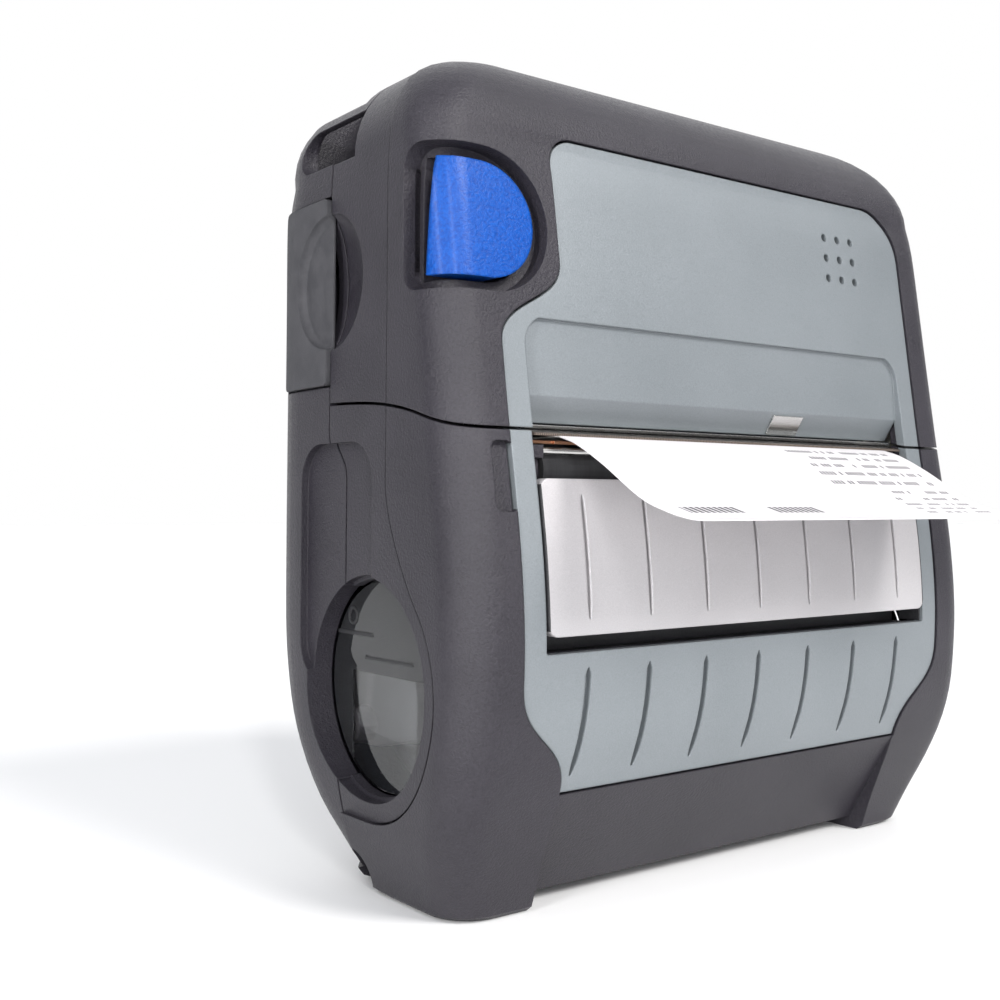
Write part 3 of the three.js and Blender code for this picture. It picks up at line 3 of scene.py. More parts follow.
import bmesh
import bpy
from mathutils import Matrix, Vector


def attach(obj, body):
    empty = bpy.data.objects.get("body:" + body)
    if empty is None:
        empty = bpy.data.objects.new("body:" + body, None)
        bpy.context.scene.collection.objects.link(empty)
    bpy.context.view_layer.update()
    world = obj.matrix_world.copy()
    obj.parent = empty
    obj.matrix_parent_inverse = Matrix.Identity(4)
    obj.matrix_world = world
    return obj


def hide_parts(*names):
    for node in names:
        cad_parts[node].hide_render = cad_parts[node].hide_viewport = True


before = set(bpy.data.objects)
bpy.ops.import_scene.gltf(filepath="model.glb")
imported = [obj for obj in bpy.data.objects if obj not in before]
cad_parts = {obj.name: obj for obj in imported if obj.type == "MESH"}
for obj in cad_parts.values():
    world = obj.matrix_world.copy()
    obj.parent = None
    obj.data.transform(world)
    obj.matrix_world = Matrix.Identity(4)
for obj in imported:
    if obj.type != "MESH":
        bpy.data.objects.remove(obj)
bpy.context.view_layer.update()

# The upper housing is the charcoal moulding over the label mouth. It has a well for the release button at its left
# corner and a pocket for the grey panel, and screws from behind hold it to the rear housing.
# Every size in this script is in millimetres, and MM turns it into the scene's metres.
MM = 0.001
CASE_WIDTH, CASE_HEIGHT, CASE_DEPTH = 155, 171, 79
MOUTH_Y = -46
WALL = 2.8
SEAM = 0.6
FIT = 0.4
FAR = 100  # well past the case, for cutters
# The case's side view as shares of its height and, at each, shares of its depth or width. The crown starts at
# CROWN_SHARE.
CROWN_SHARE = 0.88
FRONT_SHARES = [
    (0, 0.115), (0.05, 0.078), (0.1, 0.034), (0.15, -0.008), (0.205, -0.039), (0.27, -0.054), (0.33, -0.057),
    (0.41, -0.045), (0.49, -0.021), (0.55, 0), (0.65, 0.03), (0.76, 0.062), (0.845, 0.088), (0.88, 0.105),
]
BACK_SHARES = [
    (0, 0.7), (0.05, 0.77), (0.1, 0.845), (0.16, 0.915), (0.22, 0.965), (0.28, 0.992), (0.34, 1), (0.6, 1),
    (0.8, 1), (0.845, 0.993), (0.88, 0.975),
]
WIDTH_SHARES = [
    (0, 0.9), (0.04, 0.932), (0.1, 0.976), (0.17, 0.998), (0.25, 1), (0.55, 0.994), (0.7, 0.99),
    (0.845, 0.987), (0.88, 0.982),
]
FRONT_CORNER, BACK_CORNER, CROWN_CORNER = 9, 20, 12
FOOT_ROUND = 1.2


def along(table, share):
    """A smooth curve through a table of shares."""
    last = len(table) - 1
    if share <= table[0][0]:
        return table[0][1]
    if share >= table[last][0]:
        return table[last][1]
    i = next(k for k, row in enumerate(table) if row[0] > share)
    (s0, v0), (s1, v1) = table[i - 1], table[i]
    before, after = table[max(0, i - 2)], table[min(last, i + 1)]
    slope0 = (v1 - before[1]) / (s1 - before[0]) * (s1 - s0)
    slope1 = (after[1] - v0) / (after[0] - s0) * (s1 - s0)
    t = (share - s0) / (s1 - s0)
    return v0 + (v1 - v0) * t * t * (3 - 2 * t) + t * (1 - t) * ((1 - t) * slope0 - t * slope1)


def front_at(z):
    return MOUTH_Y + CASE_DEPTH * along(FRONT_SHARES, z / CASE_HEIGHT)


def case_slice(share, rise, inset, steps=9):
    """One rounded slice of the case at a share of its height, its sides drawn in by inset."""
    level = min(share, CROWN_SHARE)
    crown = CASE_HEIGHT * (1 - CROWN_SHARE)
    foot = max(0, FOOT_ROUND - share * CASE_HEIGHT)
    drawn = crown * (1 - math.sqrt(1 - rise * rise)) + inset + foot
    x = CASE_WIDTH / 2 * along(WIDTH_SHARES, level) - drawn
    y0 = front_at(level * CASE_HEIGHT) + drawn
    y1 = MOUTH_Y + CASE_DEPTH * along(BACK_SHARES, level) - drawn
    front = max(1, FRONT_CORNER + (CROWN_CORNER - FRONT_CORNER) * rise - inset)
    back = max(1, BACK_CORNER + (CROWN_CORNER - BACK_CORNER) * rise - inset)
    z = inset + (CASE_HEIGHT - 2 * inset) * share
    corners = [(x - back, y1 - back, back), (back - x, y1 - back, back), (front - x, y0 + front, front),
               (x - front, y0 + front, front)]
    points = []
    for quarter, (cx, cy, r) in enumerate(corners):
        for i in range(steps + 1):
            angle = (quarter + i / steps) * math.pi / 2
            points.append(Vector((cx + r * math.cos(angle), cy + r * math.sin(angle), z)) * MM)
    return points


BODY_STEPS, CROWN_STEPS = 44, 12
LEVELS = [(0, 0), (0.003, 0), (0.007, 0)]
LEVELS += [(CROWN_SHARE * i / BODY_STEPS, 0) for i in range(1, BODY_STEPS + 1)]
for step in range(1, CROWN_STEPS + 1):
    rise = math.sin(step / CROWN_STEPS * math.pi / 2)
    LEVELS.append((CROWN_SHARE + (1 - CROWN_SHARE) * rise, rise))


def start(name):
    """Names the primitive that was just added and opens it for editing."""
    piece = bpy.context.object
    piece.name = piece.data.name = name
    bpy.ops.object.transform_apply(location=True, rotation=True, scale=True)
    return piece


def within(inset, name="form"):
    """What lies deeper than inset under the case's skin: a ring extruded level by level."""
    rings = [case_slice(share, rise, inset) for share, rise in LEVELS]
    bpy.ops.object.select_all(action="DESELECT")
    bpy.ops.mesh.primitive_circle_add(vertices=len(rings[0]), fill_type="NGON")
    piece = start(name)
    bpy.ops.object.mode_set(mode="EDIT")
    bpy.ops.mesh.select_all(action="SELECT")
    mesh = bmesh.from_edit_mesh(piece.data)
    mesh.verts.ensure_lookup_table()
    for vert, place in zip(mesh.verts, rings[0]):
        vert.co = place
    for before, after in zip(rings, rings[1:]):
        bpy.ops.mesh.extrude_region_move()
        mesh = bmesh.from_edit_mesh(piece.data)
        places = {tuple(round(c, 7) for c in old[:2]): new for old, new in zip(before, after)}
        for vert in [v for v in mesh.verts if v.select]:
            vert.co = places[tuple(round(c, 7) for c in vert.co[:2])]
    bpy.ops.mesh.select_all(action="SELECT")
    bpy.ops.mesh.normals_make_consistent(inside=False)
    bpy.ops.object.mode_set(mode="OBJECT")
    return piece


def placed(axis, a, b, c):
    """The point at c along an axis and at a, b on the other two, in metres."""
    return Vector({"X": (c, a, b), "Y": (a, c, b), "Z": (a, b, c)}[axis]) * MM


def plate(points, axis, low, high, name="plate"):
    """An outline pulled along an axis: [y, z] along X, [x, z] along Y and [x, y] along Z."""
    bpy.ops.object.select_all(action="DESELECT")
    bpy.ops.mesh.primitive_circle_add(vertices=len(points), fill_type="NGON")
    piece = start(name)
    for vert, (a, b) in zip(piece.data.vertices, points):
        vert.co = placed(axis, a, b, low)
    bpy.ops.object.mode_set(mode="EDIT")
    bpy.ops.mesh.select_all(action="SELECT")
    bpy.ops.mesh.extrude_region_move(TRANSFORM_OT_translate={"value": placed(axis, 0, 0, high - low)})
    bpy.ops.mesh.select_all(action="SELECT")
    bpy.ops.mesh.normals_make_consistent(inside=False)
    bpy.ops.object.mode_set(mode="OBJECT")
    return piece


def rod(axis, a, b, radius, low, high, sides=64, name="rod"):
    """A round bar along an axis, round the point a, b of the other two."""
    turn = {"X": (0, math.pi / 2, 0), "Y": (math.pi / 2, 0, 0), "Z": (0, 0, 0)}[axis]
    bpy.ops.object.select_all(action="DESELECT")
    bpy.ops.mesh.primitive_cylinder_add(vertices=sides, radius=radius * MM, depth=(high - low) * MM,
                                        location=placed(axis, a, b, (low + high) / 2), rotation=turn)
    return start(name)


def block(x0, x1, y0, y1, z0, z1, name="block"):
    """A box between six planes."""
    bpy.ops.object.select_all(action="DESELECT")
    middle = Vector(((x0 + x1) / 2, (y0 + y1) / 2, (z0 + z1) / 2)) * MM
    bpy.ops.mesh.primitive_cube_add(size=1, location=middle, scale=Vector((x1 - x0, y1 - y0, z1 - z0)) * MM)
    return start(name)


def combine(operation, body, tools):
    """Applies one boolean modifier for each tool and removes the tools."""
    bpy.ops.object.select_all(action="DESELECT")
    bpy.context.view_layer.objects.active = body
    for tool in tools:
        step = body.modifiers.new(operation, "BOOLEAN")
        step.operation, step.solver, step.object = operation, "MANIFOLD", tool
        bpy.ops.object.modifier_apply(modifier=step.name)
    for tool in tools:
        bpy.data.objects.remove(tool)
    return body


def cut(body, *tools):
    return combine("DIFFERENCE", body, tools)


def join(body, *tools):
    return combine("UNION", body, tools)


def common(body, *tools):
    return combine("INTERSECT", body, tools)


def copy_of(piece):
    twin = piece.copy()
    twin.data = piece.data.copy()
    bpy.context.scene.collection.objects.link(twin)
    return twin


def mirrored(piece):
    """The piece's mirror image in the plane X = 0, faces outwards."""
    bpy.ops.object.select_all(action="DESELECT")
    twin = copy_of(piece)
    for vert in twin.data.vertices:
        vert.co.x = -vert.co.x
    twin.data.flip_normals()
    return twin


def both_sides(piece):
    return join(piece, mirrored(piece))


def rounded(a0, a1, b0, b1, r, steps=8):
    """A rectangle's outline with round corners."""
    points = []
    centres = [(a1 - r, b1 - r), (a0 + r, b1 - r), (a0 + r, b0 + r), (a1 - r, b0 + r)]
    for quarter, (a, b) in enumerate(centres):
        for i in range(steps + 1):
            angle = (quarter + i / steps) * math.pi / 2
            points.append((a + r * math.cos(angle), b + r * math.sin(angle)))
    return points


def arc(a, b, r, start_angle, end_angle, steps=10):
    angles = [start_angle + (end_angle - start_angle) * i / steps for i in range(steps + 1)]
    return [(a + r * math.cos(angle), b + r * math.sin(angle)) for angle in angles]


def curve(p0, p1, p2, p3, steps=14):
    """Points on a cubic Bezier curve."""
    points = []
    for i in range(steps + 1):
        t = i / steps
        u = 1 - t
        points.append(tuple(u ** 3 * a + 3 * u * u * t * b + 3 * u * t * t * c + t ** 3 * d
                            for a, b, c, d in zip(p0, p1, p2, p3)))
    return points


class Value:
    """A shader socket that Python's arithmetic works on."""

    def __init__(self, finish, socket):
        self.finish, self.socket = finish, socket

    def math(self, operation, *others):
        return self.finish.node("ShaderNodeMath", {"operation": operation}, *([self] + list(others)))

    def __add__(self, other):
        return self.math("ADD", other)

    def __sub__(self, other):
        return self.math("SUBTRACT", other)

    def __rsub__(self, other):
        return self.finish.node("ShaderNodeMath", {"operation": "SUBTRACT"}, other, self)

    def __mul__(self, other):
        return self.math("MULTIPLY", other)

    def __lt__(self, other):
        return self.math("LESS_THAN", other)

    def __gt__(self, other):
        return self.math("GREATER_THAN", other)

    def __abs__(self):
        return self.math("ABSOLUTE")

    def between(self, low, high):
        """A mask of 1 between two places in millimetres."""
        return (self > low * MM) * (self < high * MM)

    __radd__, __rmul__ = __add__, __mul__


class Finish:
    """A material on the Principled shader: constants are set on its sockets, what varies is fed to them."""

    def __init__(self, name, color, **constants):
        self.material = bpy.data.materials.new(name)
        self.material.use_nodes = True
        self.tree = self.material.node_tree
        self.shader = self.tree.nodes["Principled BSDF"]
        self.color = (*color, 1)
        self.shader.inputs["Base Color"].default_value = self.color
        for socket, value in constants.items():
            self.shader.inputs[socket.replace("_", " ")].default_value = value
        self.place = self.node("ShaderNodeTexCoord", output="Object")

    def node(self, kind, settings=None, *inputs, output=0, **named):
        made = self.tree.nodes.new(kind)
        for key, value in (settings or {}).items():
            if key == "stops":
                ramp = made.color_ramp
                for i, (at, shade) in enumerate(value):
                    stop = ramp.elements[i] if i < 2 else ramp.elements.new(at)
                    stop.position, stop.color = at, (*shade, 1)
            else:
                setattr(made, key, value)
        for key, value in [*enumerate(inputs), *((k.replace("_", " "), v) for k, v in named.items())]:
            if isinstance(value, Value):
                self.tree.links.new(value.socket, made.inputs[key])
            elif value is not None:
                made.inputs[key].default_value = value
        return Value(self, made.outputs[output])

    def noise(self, scale, detail=2.0, roughness=0.5, place=None, stretch=None):
        where = place or self.place
        if stretch:
            where = self.node("ShaderNodeMapping", None, where, Scale=stretch)
        return self.node("ShaderNodeTexNoise", None, Vector=where, Scale=scale, Detail=detail,
                         Roughness=roughness)

    def axis(self, name, vector=None):
        """One coordinate of a vector, or of the place on the object."""
        return self.node("ShaderNodeSeparateXYZ", None, vector or self.place, output="XYZ".index(name))

    def spread(self, value, low=0.0, high=1.0, start=0.3, end=0.7):
        """Spreads what varies between start and end over low to high."""
        return self.node("ShaderNodeMapRange", None, value, start, end, low, high)

    def blend(self, mask, low, high):
        """A colour between low and high by a mask from 0 to 1."""
        mix = self.tree.nodes.new("ShaderNodeMix")
        mix.data_type = "RGBA"
        for index, value in ((0, mask), (6, low), (7, high)):
            if isinstance(value, Value):
                self.tree.links.new(value.socket, mix.inputs[index])
            else:
                mix.inputs[index].default_value = value if index == 0 else (*value, 1)
        return Value(self, mix.outputs[2])

    def feed(self, socket, value):
        self.tree.links.new(value.socket, self.shader.inputs[socket])

    def relief(self, height, distance, edge=0.0):
        """Bumps of a height in metres, over edges that the light sees as slightly round."""
        normal = self.node("ShaderNodeBevel", {"samples": 4}, Radius=edge) if edge else None
        bump = self.node("ShaderNodeBump", None, Strength=1.0, Distance=distance, Height=height, Normal=normal)
        self.feed("Normal", bump)


def place_piece(piece, name, finish, body, slot, *nodes, angle=32):
    """Gives a finished piece its name, finish and body, and hides the nodes it stands for. Its slot argument is
    not used.
    """
    piece.name = piece.data.name = name
    piece.data.materials.clear()
    piece.data.materials.append(finish.material)
    bpy.ops.object.select_all(action="DESELECT")
    piece.select_set(True)
    bpy.context.view_layer.objects.active = piece
    bpy.ops.object.shade_smooth_by_angle(angle=math.radians(angle))
    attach(piece, body)
    if nodes:
        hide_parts(*nodes)
    return piece


STRAP_HOLE_X, STRAP_HOLE_Y, STRAP_HOLE_Z = (55, 71.2), (-17.5, 17.5), (151.2, 160.6)


def charcoal_finish():
    """Moulded charcoal plastic with a fine spark texture, with painted shade that darkens it inside the openings
    for the strap.
    """
    f = Finish("charcoal_plastic", (0.025, 0.0235, 0.029), Roughness=0.4, Specular_IOR_Level=0.32)
    spark = f.noise(1900, 3, 0.7)
    cloud = f.noise(55, 3)
    tone = f.spread(spark * 0.7 + cloud * 0.3)
    # Painted shade: inside the strap openings the charcoal is drawn at its darkest tone, as deep shade in the
    # holes.
    inside = abs(f.axis("X")).between(*STRAP_HOLE_X) * f.axis("Y").between(*STRAP_HOLE_Y)
    inside = inside * f.axis("Z").between(*STRAP_HOLE_Z)
    tone = tone * (1 - inside)
    f.feed("Base Color", f.blend(tone, (0.014, 0.0125, 0.017), (0.036, 0.033, 0.041)))
    f.feed("Roughness", f.spread(spark, 0.3, 0.5))
    f.relief(spark, 0.0002, 0.0004)
    return f


charcoal = charcoal_finish()

MOUTH_Z, SHOULDER_Z = 93.8, 100.5
SIDE_SEAM_Y, CROWN_SEAM_Y, STRAP_SILL_Z = -0.5, -9, 151
LOW_PULL, HIGH_PULL = (-36.5, 95), (-34, 99.9)  # where the seam's curve is drawn to, y and z
cover_top = [(-FAR, MOUTH_Z)]
cover_top += curve((MOUTH_Y, MOUTH_Z), LOW_PULL, HIGH_PULL, (SIDE_SEAM_Y - SEAM, SHOULDER_Z), 24)
over_seam = [(y, z + SEAM / 2) for y, z in cover_top]
upper_region = plate(
    over_seam + [(SIDE_SEAM_Y - SEAM, STRAP_SILL_Z - SEAM), (CROWN_SEAM_Y - SEAM, STRAP_SILL_Z - SEAM),
                 (CROWN_SEAM_Y - SEAM, 2 * FAR), (-FAR, 2 * FAR)], "X", -FAR, FAR)

skin = within(0)
hollow = within(WALL)
core = within(WALL / 2)
shell = cut(copy_of(skin), copy_of(hollow))

# Behind the bumper's line, which sweeps round the side windows, the sides lie a step lower. A groove follows the
# line up to the crown's seam.
BUMPER_STEP, BUMPER_Y, BUMPER_TURN_Z, BUMPER_PULL_Z, BUMPER_FOOT_Z = 0.7, -24.2, 84, 76.8, 3
BELT_PULL_Y, BELT_PULL_Z = 3.6, 4.3
LINE_WIDE, LINE_DEEP, LINE_FOOT_Z = 1.3, 1.1, 90
WINDOW_Y, WINDOW_Z, RIM = -14.6, 43.2, 22.5
BELT_ROUND, BELT_TURN, FOOT_SEAM_Y = RIM + 4.1, math.radians(140), -3.5
belt = arc(WINDOW_Y, WINDOW_Z, BELT_ROUND, BELT_TURN, math.radians(270), 36)
bumper_line = [(BUMPER_Y, 2 * FAR)]
bumper_line += curve((BUMPER_Y, BUMPER_TURN_Z), (BUMPER_Y, BUMPER_PULL_Z),
                     (belt[0][0] + BELT_PULL_Y, belt[0][1] + BELT_PULL_Z), belt[0])
bumper_line += belt[1:]
bumper_line += [(FOOT_SEAM_Y - SEAM / 2, WINDOW_Z - BELT_ROUND), (FOOT_SEAM_Y - SEAM / 2, BUMPER_FOOT_Z),
                (FAR, BUMPER_FOOT_Z), (FAR, 2 * FAR)]
bumper_cut = cut(plate(bumper_line, "X", -FAR, FAR), within(BUMPER_STEP))
past_groove = [(y + LINE_WIDE, z) for y, z in bumper_line]
bumper_groove = cut(plate(bumper_line, "X", -FAR, FAR), plate(past_groove, "X", -2 * FAR, 2 * FAR),
                    block(-FAR, FAR, CROWN_SEAM_Y, FAR, -FAR, LINE_FOOT_Z), within(BUMPER_STEP + LINE_DEEP))

# The scoop for a fingertip at the port flap
SCOOP_X, SCOOP_Z = -76.7, 126
SCOOP_DEEP, SCOOP_HALF_Y, SCOOP_HALF_Z = 5, 13.5, 14.5


def scoop_ball(grow):
    bpy.ops.object.select_all(action="DESELECT")
    bpy.ops.mesh.primitive_uv_sphere_add(
        segments=48, ring_count=32, location=Vector((SCOOP_X, SIDE_SEAM_Y, SCOOP_Z)) * MM,
        scale=Vector((SCOOP_DEEP + grow, SCOOP_HALF_Y + grow, SCOOP_HALF_Z + grow)) * MM)
    return start("scoop")


scoop_cup = common(copy_of(core), scoop_ball(WALL))

PANEL_SET, PANEL_THICK = 0.4, 2.2
POCKET = PANEL_SET + PANEL_THICK + FIT
BACKING, BACKING_MARGIN = 1.6, 3
PANEL_HALF, PANEL_LEFT, PANEL_TOP = 63.5, -47.6, 152.5
WAIST_Z, WAIST_DROP, TIP_ROUND, PANEL_ROUND = 127, 17, 6, 12
REACH_Y = -30  # cuts from the front end here
MOUTH_HALF, MOUTH_DROP = 58.7, 8


def upper_outline(grow):
    """The upper panel seen from the front: a tongue beside the button that widens to the full width below it."""
    right, left, top = PANEL_HALF + grow, PANEL_LEFT - grow, PANEL_TOP + grow
    points = [(-right, MOUTH_Z - MOUTH_DROP), (right, MOUTH_Z - MOUTH_DROP)]
    points += arc(right - PANEL_ROUND, top - PANEL_ROUND, PANEL_ROUND, 0, math.pi / 2, 14)
    points += arc(left + TIP_ROUND, top - TIP_ROUND, TIP_ROUND, math.pi / 2, math.pi, 10)
    points += curve((left, WAIST_Z + grow), (left, WAIST_Z - WAIST_DROP / 2 + grow),
                    (-right, WAIST_Z - WAIST_DROP / 2 + grow), (-right, WAIST_Z - WAIST_DROP + grow), 20)
    return points


def backing(outline):
    """The wall behind a panel's pocket."""
    return common(cut(within(WALL - PANEL_SET), within(POCKET + BACKING)), plate(outline, "Y", -FAR, REACH_Y))


def down_to(depth, *tools):
    """A cutter that goes only to a depth under the case's skin."""
    body = tools[0]
    if len(tools) > 1:
        join(body, *tools[1:])
    return cut(body, within(depth))


BUTTON_TIP, BUTTON_FOOT, BUTTON_TOP = -53, 122.2, 145.3
BUTTON_BACK_Y = -35.3
BUTTON_MIDDLE_Z, BUTTON_ROUND = (BUTTON_FOOT + BUTTON_TOP) / 2, (BUTTON_TOP - BUTTON_FOOT) / 2
WELL_MARGIN, WELL_DEPTH, WELL_BACK_Y, WELL_ROUND, CUP_MARGIN = 2.6, 3.8, -29.6, 4.5, 4.8
BUTTON_HOLE_Y = BUTTON_BACK_Y + 4.4
STEM_X, STEM_ROUND, STEM_BACK_Y, STEM_ROOT = -68.5, 2.5, -27, 2


def button_outline(grow):
    """A letter D that lies on its back against the left side."""
    points = [(-FAR, BUTTON_MIDDLE_Z - BUTTON_ROUND - grow)]
    points += arc(BUTTON_TIP - BUTTON_ROUND, BUTTON_MIDDLE_Z, BUTTON_ROUND + grow, -math.pi / 2, math.pi / 2, 28)
    return points + [(-FAR, BUTTON_MIDDLE_Z + BUTTON_ROUND + grow)]


well_side = rounded(-FAR, WELL_BACK_Y, BUTTON_FOOT - WELL_MARGIN, BUTTON_TOP + WELL_MARGIN, WELL_ROUND)
button_well = common(plate(button_outline(WELL_MARGIN), "Y", -FAR, WELL_BACK_Y), plate(well_side, "X", -FAR, FAR))
button_hole = plate(button_outline(FIT), "Y", -FAR, BUTTON_HOLE_Y)
button_cup = common(copy_of(core), plate(button_outline(CUP_MARGIN), "Y", -FAR, WELL_BACK_Y))
LIP_HALF, LIP_TOP_Z, LIP_INNER_Z = 58, 115.5, 109.5
SPEAKER_X, SPEAKER_Z, SPEAKER_ROUND = 40.9, 138.4, 8.3

upper_housing = join(copy_of(shell), button_cup, copy_of(scoop_cup), backing(upper_outline(BACKING_MARGIN)))
cut(upper_housing, down_to(POCKET, plate(upper_outline(FIT), "Y", -FAR, REACH_Y)),
    block(-MOUTH_HALF, MOUTH_HALF, -FAR, REACH_Y, MOUTH_Z - MOUTH_DROP, LIP_INNER_Z),
    rod("Y", SPEAKER_X, SPEAKER_Z, SPEAKER_ROUND, -FAR, REACH_Y),
    rod("Y", STEM_X, BUTTON_MIDDLE_Z, STEM_ROUND + FIT, BUTTON_HOLE_Y - 1, WELL_BACK_Y + 1, 32),
    copy_of(bumper_cut), copy_of(bumper_groove), down_to(WELL_DEPTH, button_well), button_hole, scoop_ball(0))
common(upper_housing, upper_region)
place_piece(upper_housing, "upper_housing_shell", charcoal, "housing", "charcoal_shell", "upper_housing")

# The upper panel is a silver-grey moulding let into the housing's pocket. Its lower edge folds in to a lip over
# the label mouth, and three rows of small holes let the speaker's sound out.


def grey_finish():
    """Silver-grey paint on plastic with a very fine grain and a soft vertical drift of tone."""
    f = Finish("silver_grey_paint", (0.2, 0.225, 0.24), Roughness=0.42, Metallic=0.3)
    grain = f.noise(3400, 2, 0.6)
    cloud = f.noise(28, 2)
    tone = f.spread(grain * 0.55 + cloud * 0.45)
    f.feed("Base Color", f.blend(tone, (0.16, 0.178, 0.19), (0.22, 0.24, 0.255)))
    f.feed("Roughness", f.spread(grain, 0.38, 0.5))
    f.relief(grain, 0.00004, 0.0005)
    return f


silver_grey = grey_finish()
LIP_FOOT_Z, LIP_FOOT_Y, LIP_LEDGE, LIP_MARGIN, LIP_ROUND = 100.6, -42.8, 0.9, 8, 6
THROAT_FLOOR, HOLE_PITCH, HOLE_ROUND = 1.2, 4.9, 0.95
THROAT_Y, THROAT_Z = -39.4, 95.1
lip_top_y = front_at(LIP_TOP_Z) + PANEL_SET
lip_line = [(lip_top_y + LIP_LEDGE, LIP_TOP_Z), (LIP_FOOT_Y, LIP_FOOT_Z), (THROAT_Y, THROAT_Z)]
panel_skin = cut(within(PANEL_SET), within(PANEL_SET + PANEL_THICK))
upper_panel = common(copy_of(panel_skin), plate(upper_outline(0), "Y", -FAR, REACH_Y))
lip_bounds = plate(rounded(-LIP_HALF, LIP_HALF, MOUTH_Z - 40, LIP_TOP_Z + FIT, LIP_ROUND), "Y", -FAR, REACH_Y)


def lip_plate(more):
    return plate(lip_line + more, "X", -LIP_HALF - LIP_MARGIN, LIP_HALF + LIP_MARGIN)


lip_fold = [(THROAT_Y, MOUTH_Z - MOUTH_DROP), (-FAR, MOUTH_Z - MOUTH_DROP), (-FAR, LIP_TOP_Z)]
cut(upper_panel, common(lip_plate(lip_fold), copy_of(lip_bounds)),
    block(-LIP_HALF, LIP_HALF, -FAR, REACH_Y, MOUTH_Z - MOUTH_DROP, LIP_FOOT_Z))
lip_back = [(THROAT_Y + THROAT_FLOOR, THROAT_Z), (lip_top_y + PANEL_THICK, LIP_TOP_Z)]
join(upper_panel, common(lip_plate(lip_back), lip_bounds))
for column in (-1, 0, 1):
    for row in (-1, 0, 1):
        cut(upper_panel, rod("Y", SPEAKER_X + column * HOLE_PITCH, SPEAKER_Z + row * HOLE_PITCH, HOLE_ROUND,
                             -FAR, REACH_Y, 20))
common(upper_panel, plate(over_seam + [(0, SHOULDER_Z), (0, 2 * FAR), (-FAR, 2 * FAR)], "X", -FAR, FAR))
place_piece(upper_panel, "upper_panel_moulding", silver_grey, "housing", "grey_panel", "upper_panel")

# The release button is a blue cap that wraps round the corner of the case. It slides straight back on a stem that
# goes through the floor of its well.


def blue_finish():
    """Blue plastic, half glossy, with a faint grain."""
    f = Finish("blue_plastic", (0.001, 0.055, 0.31), Roughness=0.34, Coat_Weight=0.08, Coat_Roughness=0.2,
               Specular_IOR_Level=0.2)
    grain = f.noise(1500, 3, 0.7)
    f.feed("Base Color", f.blend(f.spread(grain),
                                 (0.0001, 0.034, 0.21), (0.0005, 0.07, 0.35)))
    f.relief(grain, 0.00016, 0.0007)
    return f


blue = blue_finish()
BUTTON_SINK, BUTTON_SHRINK = 1.1, 0.15
release_button = common(within(BUTTON_SINK), plate(button_outline(-BUTTON_SHRINK), "Y", -FAR, BUTTON_BACK_Y))
join(release_button, rod("Y", STEM_X, BUTTON_MIDDLE_Z, STEM_ROUND, BUTTON_BACK_Y - STEM_ROOT, STEM_BACK_Y, 32))
place_piece(release_button, "release_button_cap", blue, "button", "blue_button", "release_button")

# The cover is the lower front with both feet: one charcoal moulding with a round dish in each side, a pocket for
# the grey panel, a sloping strip between the feet and two arms inside that carry the platen. It turns on a steel
# pin through its feet.
HINGE_Y, HINGE_Z, ROLL_Y, ROLL_Z = -4, 4.2, -15, 40.5
NECK_Y, NECK_FOOT_Z, NECK_MIDDLE_Z, NECK_TOP_Z, FOOT_SEAM_Z = -5.5, 85, 90, 95, 60
HINGE_REACH, PIN_HOLE_ROUND, KNUCKLE_ROUND = 1, 1.8, 3.5
neck_curve = curve((NECK_Y, NECK_FOOT_Z), (NECK_Y, NECK_MIDDLE_Z), (SIDE_SEAM_Y - SEAM, NECK_MIDDLE_Z),
                   (SIDE_SEAM_Y - SEAM, NECK_TOP_Z), 8)
cover_region = plate(
    [(-FAR, -FAR), (HINGE_Y + HINGE_REACH - SEAM, -FAR), (HINGE_Y + HINGE_REACH - SEAM, HINGE_Z),
     (FOOT_SEAM_Y - SEAM, HINGE_Z), (FOOT_SEAM_Y - SEAM, ROLL_Z), (NECK_Y, FOOT_SEAM_Z), *neck_curve]
    + [(y, z - SEAM / 2) for y, z in reversed(cover_top)], "X", -FAR, FAR)

DISH_X, DISH_THICK = 73.1, 2.4
LENS_Y, LENS_Z, LENS_ROUND = -14.3, 43.2, 21.3
dish = both_sides(rod("X", WINDOW_Y, WINDOW_Z, RIM + WALL, DISH_X - DISH_THICK, FAR, 128))
dish_pad = common(copy_of(core), dish)
COLUMN_DEEP, COLUMN_Y0, COLUMN_Y1, COLUMN_TOP_Z, COLUMN_ROUND = 2.4, -18, 11, 92.5, 8
column_cut = down_to(COLUMN_DEEP, plate(rounded(COLUMN_Y0, COLUMN_Y1, WINDOW_Z, COLUMN_TOP_Z, COLUMN_ROUND),
                                        "X", -FAR, FAR))

HIP_Z, PANEL_FOOT_Z, PANEL_FOOT_HALF = 46, 24.9, 51.8
OPENING_FOOT_Z, OPENING_ROUND = 51.8, 0.6
TAB_X, TAB_Z0, TAB_Z1, TAB_ROUND = -68.5, 78.3, 91.5, 1.5


def lower_outline(grow):
    """The lower panel seen from the front: full width down to its hips, then drawn in to its foot."""
    side, foot, turn = PANEL_HALF + grow, PANEL_FOOT_HALF + grow, (HIP_Z - PANEL_FOOT_Z) / 2
    right = curve((foot, PANEL_FOOT_Z - grow), (foot, PANEL_FOOT_Z + turn), (side, HIP_Z - turn), (side, HIP_Z),
                  20)
    top = MOUTH_Z + MOUTH_DROP
    return right + [(side, top), (-side, top)] + [(-x, z) for x, z in reversed(right)]


STRIP_Y, STRIP_Z, NOTCH = -33.4, 2.7, HINGE_Z + SEAM


def strip_outline(grow):
    return [(-FAR, PANEL_FOOT_Z + grow), (front_at(PANEL_FOOT_Z) + grow, PANEL_FOOT_Z + grow),
            (STRIP_Y + grow, STRIP_Z + grow), (HINGE_Y + NOTCH, STRIP_Z + grow), (HINGE_Y + NOTCH, -FAR),
            (-FAR, -FAR)]


